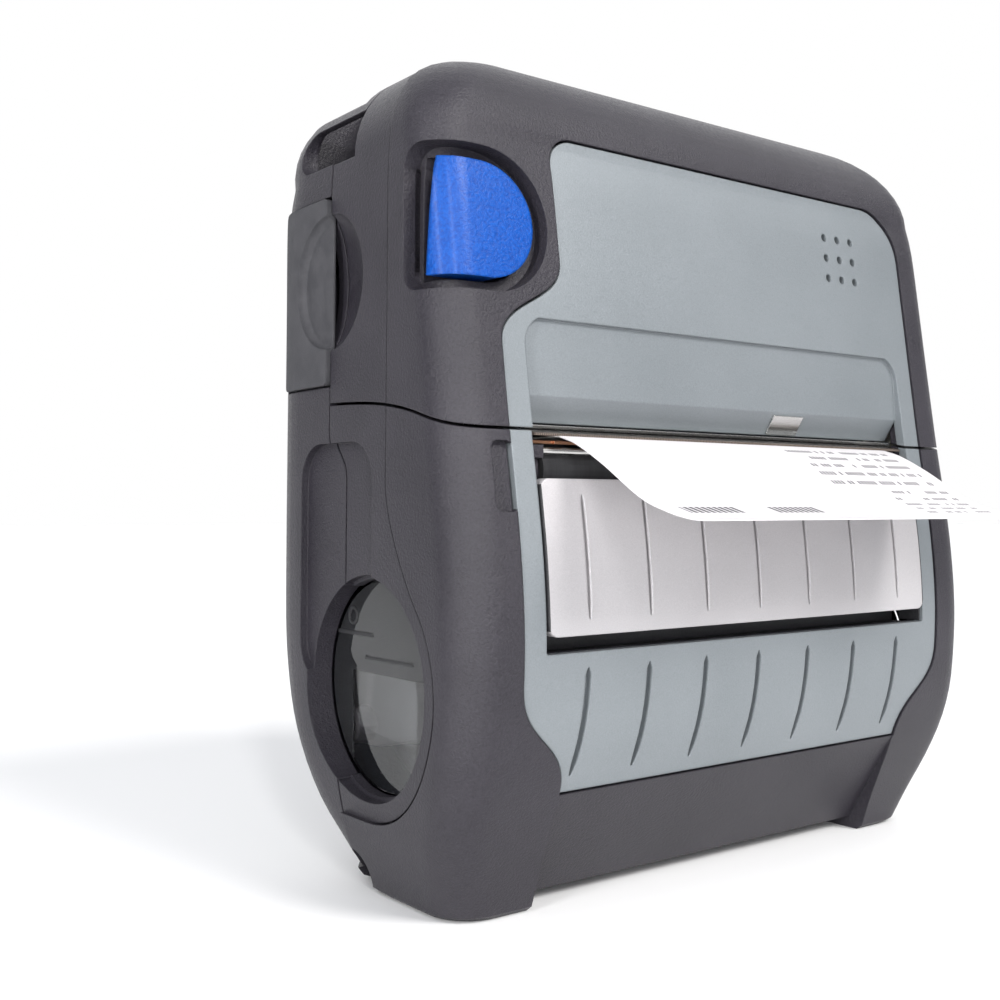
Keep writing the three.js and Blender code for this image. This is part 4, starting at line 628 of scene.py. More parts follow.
hinge_notch = rod("X", HINGE_Y, HINGE_Z, NOTCH, -FAR, FAR)
DOOR_HALF, DOOR_FOOT_Z, DOOR_TOP_Z, DOOR_THICK = 58, 55, 84.6, 2.4
DOOR_PIN_Y, DOOR_PIN_Z = -45.4, 57.6


def door_opening(half):
    return plate(rounded(-half, half, OPENING_FOOT_Z, 2 * FAR, OPENING_ROUND), "Y", -FAR, REACH_Y)


strip_wall = plate(strip_outline(WALL), "X", -PANEL_FOOT_HALF - WALL, PANEL_FOOT_HALF + WALL)
frame_shell = join(cut(copy_of(shell), copy_of(bumper_cut), copy_of(bumper_groove)), copy_of(dish_pad),
                   backing(lower_outline(BACKING_MARGIN)), common(copy_of(core), strip_wall))
cut(frame_shell, down_to(POCKET, plate(lower_outline(FIT), "Y", -FAR, REACH_Y)), copy_of(column_cut),
    both_sides(rod("X", WINDOW_Y, WINDOW_Z, RIM, DISH_X, FAR, 128)),
    rod("X", LENS_Y, LENS_Z, LENS_ROUND + FIT, -FAR, FAR, 128), door_opening(MOUTH_HALF),
    plate(strip_outline(0), "X", -PANEL_FOOT_HALF, PANEL_FOOT_HALF), copy_of(hinge_notch),
    down_to(TAB_ROUND, plate(rounded(TAB_X, -PANEL_HALF, TAB_Z0, TAB_Z1, TAB_ROUND), "Y", -FAR, REACH_Y)))
common(frame_shell, copy_of(cover_region))


def largest(piece):
    """Leaves only the biggest of a piece's separate bodies."""
    bpy.ops.object.select_all(action="DESELECT")
    piece.select_set(True)
    bpy.context.view_layer.objects.active = piece
    bpy.ops.mesh.separate(type="LOOSE")
    parts = sorted(bpy.context.selected_objects, key=lambda o: len(o.data.polygons))
    for crumb in parts[:-1]:
        bpy.data.objects.remove(crumb)
    return parts[-1]


PLATEN_Y, PLATEN_Z, PLATEN_HOLE_ROUND = -36, 86.4, 4.3
PEEL_Y, PEEL_Z, PEEL_HOLE_ROUND, NOSE = -42.4, 90, 1.05, 1.4
ARM_X0, ARM_X1, ARM_ROUND, ARM_HALF, ARM_FOOT_Z, ARM_TOP_Z = 54, 57.4, 6.2, 4.4, 77.4, 91.1
SHELF_Y0, SHELF_Z0, SHELF_Z1 = -45.5, 76, 79
arm_nose = [(PLATEN_Y, PLATEN_Z), (PEEL_Y, PEEL_Z - NOSE), (PEEL_Y - NOSE, PEEL_Z - NOSE),
            (PEEL_Y - NOSE, ARM_TOP_Z), (PLATEN_Y, ARM_TOP_Z)]
arm = join(rod("X", PLATEN_Y, PLATEN_Z, ARM_ROUND, ARM_X0, ARM_X1),
           block(ARM_X0, ARM_X1, PLATEN_Y - ARM_HALF, PLATEN_Y + ARM_HALF, ARM_FOOT_Z, PLATEN_Z),
           plate(arm_nose, "X", ARM_X0, ARM_X1))
cut(arm, rod("X", PLATEN_Y, PLATEN_Z, PLATEN_HOLE_ROUND, ARM_X0 - 2, ARM_X1 + 2),
    rod("X", PEEL_Y, PEEL_Z, PEEL_HOLE_ROUND, ARM_X0 - 2, ARM_X1 + 2))


def knuckles(x0, x1, y0, y1):
    foot = block(x0, x1, y0, y1, HINGE_Z - KNUCKLE_ROUND, HINGE_Z - 0.5)
    return both_sides(join(rod("X", HINGE_Y, HINGE_Z, KNUCKLE_ROUND, x0, x1), foot))


DOOR_KNUCKLE_ROUND, DOOR_PIN_HOLE_ROUND, DOOR_KNUCKLE_X, DOOR_PIN_REACH = 2.1, 1.3, 54.6, 68
shelf = common(copy_of(core), both_sides(block(ARM_X0, FAR, SHELF_Y0, REACH_Y, SHELF_Z0, SHELF_Z1)))
door_knuckle = rod("X", DOOR_PIN_Y, DOOR_PIN_Z, DOOR_KNUCKLE_ROUND, DOOR_KNUCKLE_X, 60, 32)
cover_frame = join(largest(frame_shell), shelf, both_sides(arm), both_sides(door_knuckle),
                   knuckles(56, 63, HINGE_Y - 2 * NOTCH, HINGE_Y))
cut(cover_frame, rod("X", HINGE_Y, HINGE_Z, PIN_HOLE_ROUND, -FAR, FAR, 32),
    rod("X", DOOR_PIN_Y, DOOR_PIN_Z, DOOR_PIN_HOLE_ROUND, -DOOR_PIN_REACH, DOOR_PIN_REACH, 24))
place_piece(cover_frame, "cover_frame_shell", charcoal, "cover", "charcoal_shell", "cover_frame")

# The lower panel is the cover's silver-grey skin under and beside the door, with seven grooves that taper out
# downwards. It is snapped into the frame's pocket.
GROOVES, GROOVE_HALF, GROOVE_DEEP = 7, 48, 1.2
PANEL_GROOVE_Z0, PANEL_GROOVE_Z1, PANEL_GROOVE_WIDE, PANEL_GROOVE_SWAY = 28.1, 48.8, 0.75, 2.2


def face_grooves(foot_z, top_z, depth, wide, sway=0.0):
    """Seven narrow grooves across the front, each leaning out by sway at its foot."""
    tools = []
    for i in range(GROOVES):
        x = GROOVE_HALF * (2 * i / (GROOVES - 1) - 1)
        outline = []
        for side in (1, -1):
            edge = []
            for step in range(17):
                t = step / 16
                foot = min(1, math.sqrt((0.02 + t) * 6))
                top = math.sqrt(max(0.05, 1 - max(0, (t - 0.94) / 0.06) ** 2))
                half = wide * foot * top
                edge.append((x - sway * (1 - t) ** 2 + side * half, foot_z + (top_z - foot_z) * t))
            outline += edge if side > 0 else list(reversed(edge))
        tools.append(plate(outline, "Y", -FAR, REACH_Y))
    return down_to(depth, *tools)


cover_panel = common(copy_of(panel_skin), plate(lower_outline(0), "Y", -FAR, REACH_Y), copy_of(cover_region))
cut(cover_panel, door_opening(MOUTH_HALF - 0.3),
    face_grooves(PANEL_GROOVE_Z0, PANEL_GROOVE_Z1, PANEL_SET + GROOVE_DEEP + 0.3, PANEL_GROOVE_WIDE,
                 PANEL_GROOVE_SWAY))
place_piece(cover_panel, "cover_panel_moulding", silver_grey, "cover", "grey_panel", "cover_panel")

# The peel door is a pearl-white leaf with rounded corners and the same seven grooves. It swings out on a thin pin
# through two knuckles at its foot.


GAP_SHADE_EDGE = 0.3


def pearl_finish():
    """Pearl-white paint with tiny flakes. The leaf's side edges carry painted shade: they are drawn near-black, as
    they look in the shaded gaps beside the door.
    """
    f = Finish("pearl_paint", (0.52, 0.505, 0.515), Roughness=0.36, Metallic=0.3)
    flakes = f.noise(4200, 2, 0.7)
    cloud = f.noise(35, 2)
    tone = f.spread(flakes * 0.6 + cloud * 0.4)
    x = f.axis("X")
    paint = f.blend(tone, (0.4, 0.385, 0.395), (0.52, 0.505, 0.515))
    # Painted shade: near-black on the leaf's side edges, which lie in the shaded gaps at the door's sides.
    f.feed("Base Color", f.blend(abs(x) > (DOOR_HALF - GAP_SHADE_EDGE) * MM, paint, (0.03, 0.03, 0.033)))
    f.feed("Roughness", f.spread(flakes, 0.3, 0.46))
    f.relief(flakes, 0.00003, 0.0006)
    return f


pearl = pearl_finish()
DOOR_ROUND, DOOR_GROOVE_WIDE, DOOR_GROOVE_MARGIN, LUG_X0, LUG_X1 = 2.2, 0.42, 3, 50, 54
door_leaf = common(cut(copy_of(skin), within(DOOR_THICK)),
                   plate(rounded(-DOOR_HALF, DOOR_HALF, DOOR_FOOT_Z, DOOR_TOP_Z, DOOR_ROUND), "Y", -FAR, REACH_Y))
lug = rod("X", DOOR_PIN_Y, DOOR_PIN_Z, DOOR_KNUCKLE_ROUND, LUG_X0, LUG_X1, 32)
lug_web = block(LUG_X0, LUG_X1, front_at(DOOR_PIN_Z) + DOOR_THICK / 2, DOOR_PIN_Y, DOOR_PIN_Z - 1, DOOR_PIN_Z + 1)
join(door_leaf, both_sides(join(lug, lug_web)))
cut(door_leaf, rod("X", DOOR_PIN_Y, DOOR_PIN_Z, DOOR_PIN_HOLE_ROUND, -DOOR_HALF, DOOR_HALF, 24),
    face_grooves(DOOR_FOOT_Z + DOOR_GROOVE_MARGIN, DOOR_TOP_Z - DOOR_GROOVE_MARGIN, GROOVE_DEEP,
                 DOOR_GROOVE_WIDE))
place_piece(door_leaf, "peel_door_leaf", pearl, "door", "pearl_door", "peel_door")

# Each window is a clear disc, slightly domed, glued behind the round dish in the cover's side.


def clear_finish():
    """Clear polycarbonate with faint scuffs."""
    f = Finish("clear_plastic", (0.8, 0.83, 0.85), Roughness=0.02, IOR=1.5, Transmission_Weight=1.0,
               Specular_IOR_Level=0.15)
    scuffs = f.noise(30, 3, 0.6)
    f.feed("Roughness", f.spread(scuffs, 0.0, 0.03, 0.5, 0.8))
    return f


clear = clear_finish()
LENS_THICK, DOME_RINGS, DOME_RISE, DOME_FALL = 1.2, 6, 0.42, 0.07
for side, name in ((-1, "lens_left"), (1, "lens_right")):
    bpy.ops.object.select_all(action="DESELECT")
    bpy.ops.mesh.primitive_circle_add(vertices=96, radius=LENS_ROUND * MM, fill_type="NGON")
    lens = start("lens")
    bpy.ops.object.mode_set(mode="EDIT")
    bpy.ops.mesh.select_all(action="SELECT")
    bpy.ops.mesh.extrude_region_move(TRANSFORM_OT_translate={"value": (0, 0, LENS_THICK * MM)})
    for ring in range(DOME_RINGS):
        bpy.ops.mesh.inset(thickness=LENS_ROUND / (DOME_RINGS + 1) * MM,
                           depth=(DOME_RISE - DOME_FALL * ring) * MM)
    bpy.ops.mesh.select_all(action="SELECT")
    bpy.ops.mesh.normals_make_consistent(inside=False)
    bpy.ops.transform.rotate(value=side * math.pi / 2, orient_axis="Y", center_override=(0, 0, 0))
    bpy.ops.transform.translate(value=Vector((side * (DISH_X - DISH_THICK), LENS_Y, LENS_Z)) * MM)
    bpy.ops.object.mode_set(mode="OBJECT")
    place_piece(lens, name + "_dome", clear, "cover", "clear_lens", name, angle=50)

# The rear housing is the charcoal back and the crown's rear. It stands on its own flat foot, has an opening for a
# strap's end at each shoulder, and holds the battery's tray, the port bay and the keys. Four screws go in from
# behind.
FLAP_FOOT_Z, FLAP_TOP_Z, FLAP_Y0, FLAP_Y1, FLAP_THICK = 104.6, 143.6, SIDE_SEAM_Y + SEAM / 2, 19.4, 2.2
BAY_X, BAY_WALL, BAY_RIM = -70, 2.2, 3
STRAP_X0, STRAP_X1, STRAP_Y1, STRAP_TOP_Z, STRAP_ROUND = 58, 70.6, 14, 160.5, 4.5
STRAP_Y0 = CROWN_SEAM_Y - 8
BACK_Y = MOUTH_Y + CASE_DEPTH - BUMPER_STEP
TOP_Z = CASE_HEIGHT - BUMPER_STEP
BATTERY_HALF, BATTERY_FOOT_Z, BATTERY_TOP_Z, BATTERY_Y, BATTERY_ROUND = 39, 67, 140, 12, 2
LATCH_HALF, LATCH_TOP_Z, LATCH_THICK, LATCH_TRAVEL = 10, 149, 3.6, 2.9
SCREWS = [(-51, 60), (51, 60), (-51, 136), (51, 136)]
POST_ROUND, POST_DEEP, SCREW_HOLE_ROUND, HEAD_ROUND, HEAD_DEEP = 4.4, 9, 1.6, 2.9, 2.5
KEY_X, KEY_Y, KEY_HALF_X, KEY_HALF_Y, KEY_ROUND, LAMP_HALF = 18, 1, 6, 4, 3, 2.4
rear_region = plate(
    [(HINGE_Y + HINGE_REACH, -FAR), (FAR, -FAR), (FAR, 2 * FAR), (CROWN_SEAM_Y, 2 * FAR),
     (CROWN_SEAM_Y, STRAP_SILL_Z),
     (SIDE_SEAM_Y, STRAP_SILL_Z)] + [(y + SEAM, z) for y, z in reversed(neck_curve)]
    + [(NECK_Y + SEAM, FOOT_SEAM_Z), (FOOT_SEAM_Y, ROLL_Z), (FOOT_SEAM_Y, HINGE_Z),
       (HINGE_Y + HINGE_REACH, HINGE_Z)],
    "X", -FAR, FAR)
sleeve = common(copy_of(core), both_sides(block(STRAP_X0 - WALL, FAR, STRAP_Y0, STRAP_Y1 + 2 * WALL,
                                                STRAP_SILL_Z - WALL, 2 * FAR)))
port_bay = common(copy_of(core), block(-FAR, BAY_X + BAY_WALL, FLAP_Y0, FLAP_Y1 + BAY_WALL,
                                       FLAP_FOOT_Z - BAY_WALL, FLAP_TOP_Z + BAY_WALL))
ribs = common(copy_of(core), both_sides(block(65.5, FAR, 2, 10, 70, 74)))
rear_skin = cut(copy_of(shell), copy_of(bumper_cut), copy_of(bumper_groove))
rear_shell = common(join(rear_skin, copy_of(dish_pad), sleeve, port_bay, copy_of(scoop_cup), ribs), rear_region)
strap_side = plate(rounded(STRAP_Y0, STRAP_Y1, STRAP_SILL_Z - SEAM / 2, STRAP_TOP_Z, STRAP_ROUND), "X",
                   STRAP_X0, FAR)
strap_up = block(STRAP_X0, STRAP_X1, CROWN_SEAM_Y + WALL, STRAP_Y1 + WALL, STRAP_SILL_Z, 2 * FAR)
cut(rear_shell, copy_of(column_cut),
    both_sides(rod("X", WINDOW_Y, WINDOW_Z, RIM, DISH_X - DISH_THICK - 8, FAR, 128)),
    both_sides(join(strap_side, strap_up)),
    block(-FAR, BAY_X, FLAP_Y0 + BAY_RIM, FLAP_Y1 - BAY_RIM, FLAP_FOOT_Z + BAY_RIM, FLAP_TOP_Z - BAY_RIM),
    down_to(FLAP_THICK + FIT, block(-FAR, 0, FLAP_Y0 - SEAM, FLAP_Y1 + FIT, FLAP_FOOT_Z - FIT, FLAP_TOP_Z + FIT)),
    copy_of(hinge_notch), both_sides(block(PANEL_FOOT_HALF - FIT, FAR, HINGE_Y, HINGE_Y + NOTCH, -8, HINGE_Z)),
    scoop_ball(0))


def battery_box(grow, to_y):
    return plate(rounded(-BATTERY_HALF - grow, BATTERY_HALF + grow, BATTERY_FOOT_Z - grow, BATTERY_TOP_Z + grow,
                         BATTERY_ROUND + grow), "Y", BATTERY_Y - grow, to_y)


def key_block(x, grow, z0, z1):
    half_x, half_y = KEY_HALF_X + grow, KEY_HALF_Y + grow
    return plate(rounded(x - half_x, x + half_x, KEY_Y - half_y, KEY_Y + half_y, KEY_ROUND + grow), "Z", z0, z1)


rear_housing = join(largest(rear_shell), battery_box(FIT + 2, BACK_Y - BUMPER_STEP),
                    *[rod("Y", x, z, POST_ROUND, BACK_Y - POST_DEEP, BACK_Y - BUMPER_STEP, 32) for x, z in SCREWS],
                    knuckles(46, 55.7, HINGE_Y, HINGE_Y + 2 * NOTCH))
under_crown_z = TOP_Z - WALL - 8
contact_slot = block(-12.4, 12.4, 1.6, BATTERY_Y, 102.6, 109.4)
port_hole = block(BAY_X - 2, BAY_X + 11, 3.7, 12.3, 111.7, 118.3)
jack_hole = rod("X", 8, 134, 4.8, BAY_X - 8, BAY_X + 8, 48)
cut(rear_housing, battery_box(FIT, FAR),
    block(-LATCH_HALF - FIT, LATCH_HALF + FIT, BACK_Y - LATCH_THICK - FIT, FAR, BATTERY_TOP_Z,
          LATCH_TOP_Z + LATCH_TRAVEL),
    contact_slot,
    *[rod("Y", x, z, SCREW_HOLE_ROUND, BACK_Y - POST_DEEP - 3, FAR, 24) for x, z in SCREWS],
    *[rod("Y", x, z, HEAD_ROUND, BACK_Y - HEAD_DEEP, FAR, 32) for x, z in SCREWS],
    key_block(-KEY_X, FIT, under_crown_z, 2 * FAR), key_block(KEY_X, FIT, under_crown_z, 2 * FAR),
    plate(rounded(-LAMP_HALF, LAMP_HALF, KEY_Y - KEY_HALF_Y - FIT, KEY_Y + KEY_HALF_Y + FIT, 1.5), "Z",
          under_crown_z, 2 * FAR),
    port_hole, jack_hole, rod("X", HINGE_Y, HINGE_Z, PIN_HOLE_ROUND, -FAR, FAR, 32))

# A shallow bed for a plate is pressed into the back under the battery, with two narrow grooves at each side of it
back_marks = [plate(rounded(-30, 30, 28, 50, 3), "Y", 0, FAR)]
back_marks += [plate(rounded(x - 1, x + 1, 24, 58, 0.9), "Y", 0, FAR) for x in (-44, -38, 38, 44)]
cut(rear_housing, down_to(BUMPER_STEP + 0.5, *back_marks))
place_piece(rear_housing, "rear_housing_shell", charcoal, "housing", "charcoal_shell", "rear_housing")

# The port flap is soft grey rubber over the bay in the left side. It bends at its rear edge, and its front edge is
# hollowed where a fingertip goes in.


def rubber_finish():
    """Matt soft-touch rubber, mottled and slightly dusty."""
    f = Finish("soft_rubber", (0.05, 0.05, 0.055), Roughness=0.7, Specular_IOR_Level=0.3)
    dust = f.noise(240, 5, 0.7)
    f.feed("Base Color", f.blend(f.spread(dust, 0.0, 1.0, 0.35, 0.75),
                                 (0.04, 0.04, 0.045), (0.068, 0.067, 0.073)))
    f.feed("Roughness", f.spread(dust, 0.62, 0.82))
    f.relief(f.noise(3000, 2), 0.00006, 0.0006)
    return f


soft_rubber = rubber_finish()
flap = common(cut(copy_of(skin), within(FLAP_THICK)),
              plate(rounded(FLAP_Y0, FLAP_Y1, FLAP_FOOT_Z, FLAP_TOP_Z, 1.2), "X", -FAR, 0))
cut(flap, down_to(FLAP_THICK - 0.5, scoop_ball(-0.6)))
place_piece(flap, "port_flap_cover", soft_rubber, "flap", "soft_grey", "port_flap")

# The battery is a black pack that slides in from behind. Its back face follows the case, with a grip cut into its
# foot and narrow grooves, and a grooved catch above holds it.


def black_finish():
    """Black moulded plastic, half matt."""
    f = Finish("black_plastic", (0.016, 0.016, 0.018), Roughness=0.45)
    grain = f.noise(2400, 3, 0.6)
    f.feed("Base Color", f.blend(f.spread(grain),
                                 (0.012, 0.012, 0.014), (0.026, 0.026, 0.029)))
    f.feed("Roughness", f.spread(grain, 0.38, 0.55))
    f.relief(grain, 0.00008, 0.0005)
    return f


black = black_finish()
battery = common(battery_box(0, FAR), within(BUMPER_STEP))
battery_marks = [plate(rounded(x - 1.2, x + 1.2, 84, 130, 1.1), "Y", 0, FAR)
                 for x in (-30, -24, -18, 18, 24, 30)]
battery_marks.append(plate(rounded(-12, 12, 88, 126, 2), "Y", 0, FAR))
grip = block(-BATTERY_HALF / 2, BATTERY_HALF / 2, BACK_Y - LATCH_THICK / 2, FAR, BATTERY_FOOT_Z - 8,
             BATTERY_FOOT_Z + 3.6)
cut(battery, grip, down_to(BUMPER_STEP + 0.6, *battery_marks))
place_piece(battery, "battery_pack_body", black, "battery", "black_plastic", "battery_pack")

catch = block(-LATCH_HALF, LATCH_HALF, BACK_Y - LATCH_THICK, BACK_Y, BATTERY_TOP_Z + FIT, LATCH_TOP_Z)
RIDGES, RIDGE_PITCH, RIDGE_ROUND, RIDGE_HALF = 5, 1.45, 0.5, 7
for i in range(RIDGES):
    cut(catch, rod("X", BACK_Y, BATTERY_TOP_Z + 1.6 + i * RIDGE_PITCH, RIDGE_ROUND, -RIDGE_HALF, RIDGE_HALF, 16))
place_piece(catch, "battery_catch_slide", black, "battery_catch", "black_plastic", "battery_latch")

# The keys on the crown are a blue power key and a black feed key, rounded tablets that stand a little proud. A
# green lamp sits between them.
for x, name, finish, body, slot in ((-KEY_X, "power_key", blue, "power_button", "blue_button"),
                                    (KEY_X, "feed_key", black, "feed_button", "black_plastic")):
    key = key_block(x, 0, TOP_Z - 6, TOP_Z + 0.4)
    bpy.ops.object.mode_set(mode="EDIT")
    bpy.ops.mesh.select_all(action="DESELECT")
    mesh = bmesh.from_edit_mesh(key.data)
    for face in mesh.faces:
        face.select = face.normal.z > 0.9
    bmesh.update_edit_mesh(key.data)
    for thickness, depth in ((0.25, 0.3), (0.5, 0.22), (0.8, 0.08)):
        bpy.ops.mesh.inset(thickness=thickness * MM, depth=depth * MM)
    bpy.ops.object.mode_set(mode="OBJECT")
    place_piece(key, name + "_cap", finish, body, slot, name, angle=40)

# A black trough lies behind the door. It has a sill under the door's foot that keeps dust off the roll, and a
# cheek at each side, and is clipped into the cover's opening.
TROUGH_HALF, TROUGH_Y0, TROUGH_Y1, TROUGH_Z0, TROUGH_Z1 = 57.6, -46.6, -41, 50.4, 61
CHEEK_X0, CHEEK_X1, CHEEK_BACK_Y, CHEEK_Z1, CHEEK_SET = 58.15, 58.65, -43.5, 86, 1.2
sill = block(-TROUGH_HALF, TROUGH_HALF, TROUGH_Y1 - 1, TROUGH_Y1, TROUGH_Z0 + 0.2, TROUGH_Z1)
ledge = block(-TROUGH_HALF, TROUGH_HALF, TROUGH_Y0, TROUGH_Y1 - 0.5, TROUGH_Z0, TROUGH_Z0 + 1.2)
cheeks = common(both_sides(block(CHEEK_X0, CHEEK_X1, -FAR, CHEEK_BACK_Y, TROUGH_Z0 + 1.6, CHEEK_Z1)),
                within(CHEEK_SET))
place_piece(join(sill, ledge, cheeks), "door_trough", black, "cover", "black_plastic")

# Behind each window a thin black guard, glued to the cover, hides the works over the roll's end and beside it. It
# has a raised ring and two narrow bars.
GUARD_X0, GUARD_X1, GUARD_Y, GUARD_Z = -70.6, -69.9, -0.9, 45.2
RING_Y, RING_Z, RING_ROUND, RING_BORE, RING_RISE = -1.2, 56.6, 1.9, 1.3, 0.3
for side, name in ((-1, "window_guard_left"), (1, "window_guard_right")):
    guard = cut(rod("X", LENS_Y, LENS_Z, LENS_ROUND, GUARD_X0, GUARD_X1, 96),
                block(-FAR, FAR, -FAR, GUARD_Y, -FAR, GUARD_Z))
    ring = cut(rod("X", RING_Y, RING_Z, RING_ROUND, GUARD_X0 - RING_RISE, GUARD_X1 - RING_RISE, 32),
               rod("X", RING_Y, RING_Z, RING_BORE, -FAR, FAR, 32))
    join(guard, ring, block(GUARD_X0 - 0.2, GUARD_X0 + RING_RISE, -9, 5, 52.6, 53.4),
         block(GUARD_X0 - 0.2, GUARD_X0 + RING_RISE, -24, -6, 48, 48.6))
    if side > 0:
        right = mirrored(guard)
        bpy.data.objects.remove(guard)
        guard = right
    place_piece(guard, name, black, "cover", "black_plastic")

# The platen is a black rubber roller on a steel shaft, with an ivory gear on its right end. The cover's arms hold
# it in two dark bushes, and a polished peel rod and a copper static brush lie in front of it. These keep their CAD
# shapes.


def metal_finish(name, low, high, roughness, along_x=True):
    """Metal with fine drawn lines along the piece and a little dulling."""
    f = Finish(name, high, Metallic=1.0, Roughness=roughness)
    lines = f.noise(700, 3, 0.6, stretch=(0.04, 1, 1) if along_x else (1, 0.04, 1))
    f.feed("Base Color", f.blend(f.spread(lines), low, high))
    f.feed("Roughness", f.spread(lines, roughness * 0.75, roughness * 1.3))
    f.relief(lines, 0.00002, 0.0002)
    return f


steel = metal_finish("steel", (0.5, 0.5, 0.49), (0.72, 0.72, 0.7), 0.24)
copper = metal_finish("copper", (0.3, 0.15, 0.09), (0.52, 0.28, 0.17), 0.35)


def roller_finish():
    """Dark ground rubber with faint rings round the roller."""
    f = Finish("platen_rubber", (0.03, 0.03, 0.032), Roughness=0.75)
    rings = f.noise(900, 3, 0.6, stretch=(1, 0.06, 0.06))
    f.feed("Base Color", f.blend(rings, (0.02, 0.02, 0.022), (0.05, 0.05, 0.053)))
    f.relief(rings, 0.00004, 0.0002)
    return f


def gear_finish():
    """Ivory acetal, slightly waxy."""
    f = Finish("gear_plastic", (0.74, 0.72, 0.66), Roughness=0.4)
    f.feed("Base Color", f.blend(f.noise(300, 4, 0.6), (0.66, 0.64, 0.58), (0.8, 0.78, 0.72)))
    f.relief(f.noise(1800, 2), 0.00003, 0.0002)
    return f


roller_rubber, acetal = roller_finish(), gear_finish()


def coat(finish, *nodes):
    """A CAD node that keeps its shape gets a finish in its material slots."""
    for node in nodes:
        for material_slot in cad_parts[node].material_slots:
            material_slot.link = "OBJECT"
            material_slot.material = finish.material


coat(roller_rubber, "platen_roller")
coat(steel, "platen_shaft", "peel_rod", "cover_hinge_pin", "door_pin", "guide_rod")
coat(copper, "static_brush", "battery_contacts")
coat(acetal, "platen_gear", "idler_gear", "motor_pinion", "guide_pinion")
coat(black, "platen_bearing_left", "platen_bearing_right", "latch_shaft", "latch_hook_left", "latch_hook_right",
     "inner_frame", "speaker", "power_jack")
coat(steel, "head_bracket", "usb_port", "drive_motor")

# The tear bar is a blackened strip with very fine teeth along its front edge, under a bright ground blade. Both
# lie between the lip's foot and the inner frame.
TEAR_HALF, TEAR_Y, TEAR_FOOT_Z, TEAR_TOP_Z, TOOTH = 57, -44.8, 92.85, 95, 0.45


def teeth_finish():
    """Blackened steel, with bare metal showing on the teeth."""
    f = Finish("blackened_steel", (0.02, 0.018, 0.017), Metallic=0.6, Roughness=0.45)
    x = f.axis("X")
    y = f.axis("Y")
    tooth = f.node("ShaderNodeMath", {"operation": "FRACT"}, x * (1 / (TOOTH * MM))) < 0.45
    f.feed("Base Color", f.blend(tooth * (y < (TEAR_Y + 1) * MM), (0.015, 0.013, 0.012), (0.3, 0.24, 0.2)))
    wear = f.noise(1200, 3)
    f.feed("Roughness", f.spread(wear, 0.35, 0.6))
    f.relief(wear, 0.00003, 0.0001)
    return f


STRIP_BACK_Y, STRIP_BEND_Y, STRIP_TOP_Z = -38.2, -41.4, 94.2
BLADE_Y0, BLADE_Y1, BLADE_FOOT_Z = -42, -38.4, 94.3
strip_line = [(TEAR_Y, TEAR_FOOT_Z), (TEAR_Y, TEAR_FOOT_Z + 0.4), (STRIP_BEND_Y, STRIP_TOP_Z),
              (STRIP_BACK_Y, STRIP_TOP_Z), (STRIP_BACK_Y, TEAR_FOOT_Z), (TEAR_Y + 0.8, TEAR_FOOT_Z)]
blade_line = [(BLADE_Y0, TEAR_TOP_Z), (BLADE_Y0 + 0.3, BLADE_FOOT_Z), (BLADE_Y1, BLADE_FOOT_Z),
              (BLADE_Y1, TEAR_TOP_Z)]
for name, line, finish in (("tear_bar_strip", strip_line, teeth_finish()), ("tear_bar_blade", blade_line, steel)):
    place_piece(plate(line, "X", -TEAR_HALF, TEAR_HALF), name, finish, "housing", "steel", "tear_bar", angle=20)

# The label roll is white paper wound on a cardboard core. Its ends show the turns as fine rings with four deeper
# ones between them.


def roll_finish():
    """Thermal paper: rings of turns on the ends, a soft white elsewhere."""
    f = Finish("paper_roll", (0.7, 0.69, 0.68), Roughness=0.8, Specular_IOR_Level=0.3)
    y = f.axis("Y") - ROLL_Y * MM
    z = f.axis("Z") - ROLL_Z * MM
    radius = f.node("ShaderNodeMath", {"operation": "SQRT"}, y * y + z * z)
    turns = f.node("ShaderNodeTexNoise", {"noise_dimensions": "1D"}, W=radius, Scale=2600.0, Detail=2.0)
    f.feed("Base Color", f.blend(f.spread(turns),
                                 (0.42, 0.4, 0.39), (0.52, 0.5, 0.49)))
    f.relief(turns, 0.00003, 0.0003)
    return f


def card_finish():
    """Brown cardboard with fibres along the tube."""
    f = Finish("cardboard", (0.3, 0.2, 0.11), Roughness=0.85, Specular_IOR_Level=0.2)
    fibres = f.noise(900, 5, 0.7, stretch=(0.3, 1, 1))
    f.feed("Base Color", f.blend(fibres, (0.2, 0.13, 0.07), (0.42, 0.3, 0.18)))
    f.relief(fibres, 0.00008, 0.0003)
    return f


ROLL_ROUND, ROLL_HALF, CORE_ROUND, CORE_BORE, CORE_HALF = 25.5, 51, 11.1, 9.6, 51.5
RING_RADII, RING_WIDE, RING_SET = (14.5, 17.9, 20.4, 23.6), 0.5, 0.25


def round_roll(radius, x0, x1, sides):
    return rod("X", ROLL_Y, ROLL_Z, radius, x0, x1, sides)


paper_wound = cut(round_roll(ROLL_ROUND, -ROLL_HALF, ROLL_HALF, 160), round_roll(CORE_ROUND + 0.1, -FAR, FAR, 96))
for radius in RING_RADII:
    cut(paper_wound, both_sides(cut(round_roll(radius + RING_WIDE, ROLL_HALF - RING_SET, ROLL_HALF + 2, 128),
                                    round_roll(radius, ROLL_HALF - 1, ROLL_HALF + 3, 128))))
place_piece(paper_wound, "label_roll_paper", roll_finish(), "roll", "paper", "label_roll")
core_tube = cut(round_roll(CORE_ROUND, -CORE_HALF, CORE_HALF, 96), round_roll(CORE_BORE, -FAR, FAR, 96))
place_piece(core_tube, "roll_core_tube", card_finish(), "roll", "cardboard", "roll_core")

# The printed label hangs out of the mouth and curls down. It is white thermal paper; what is printed on it is only
# rows of plain dashes and bars.
LABEL_HALF, LABEL_Y, LABEL_Z, LABEL_REACH, LABEL_FALL, PAPER = 50.8, -44.5, 92.7, 37.4, 15.9, 0.25
LABEL_SHARES = [(0, 0), (0.13, 0.1), (0.33, 0.35), (0.61, 0.76), (0.8, 0.92), (0.94, 0.99), (1, 1)]


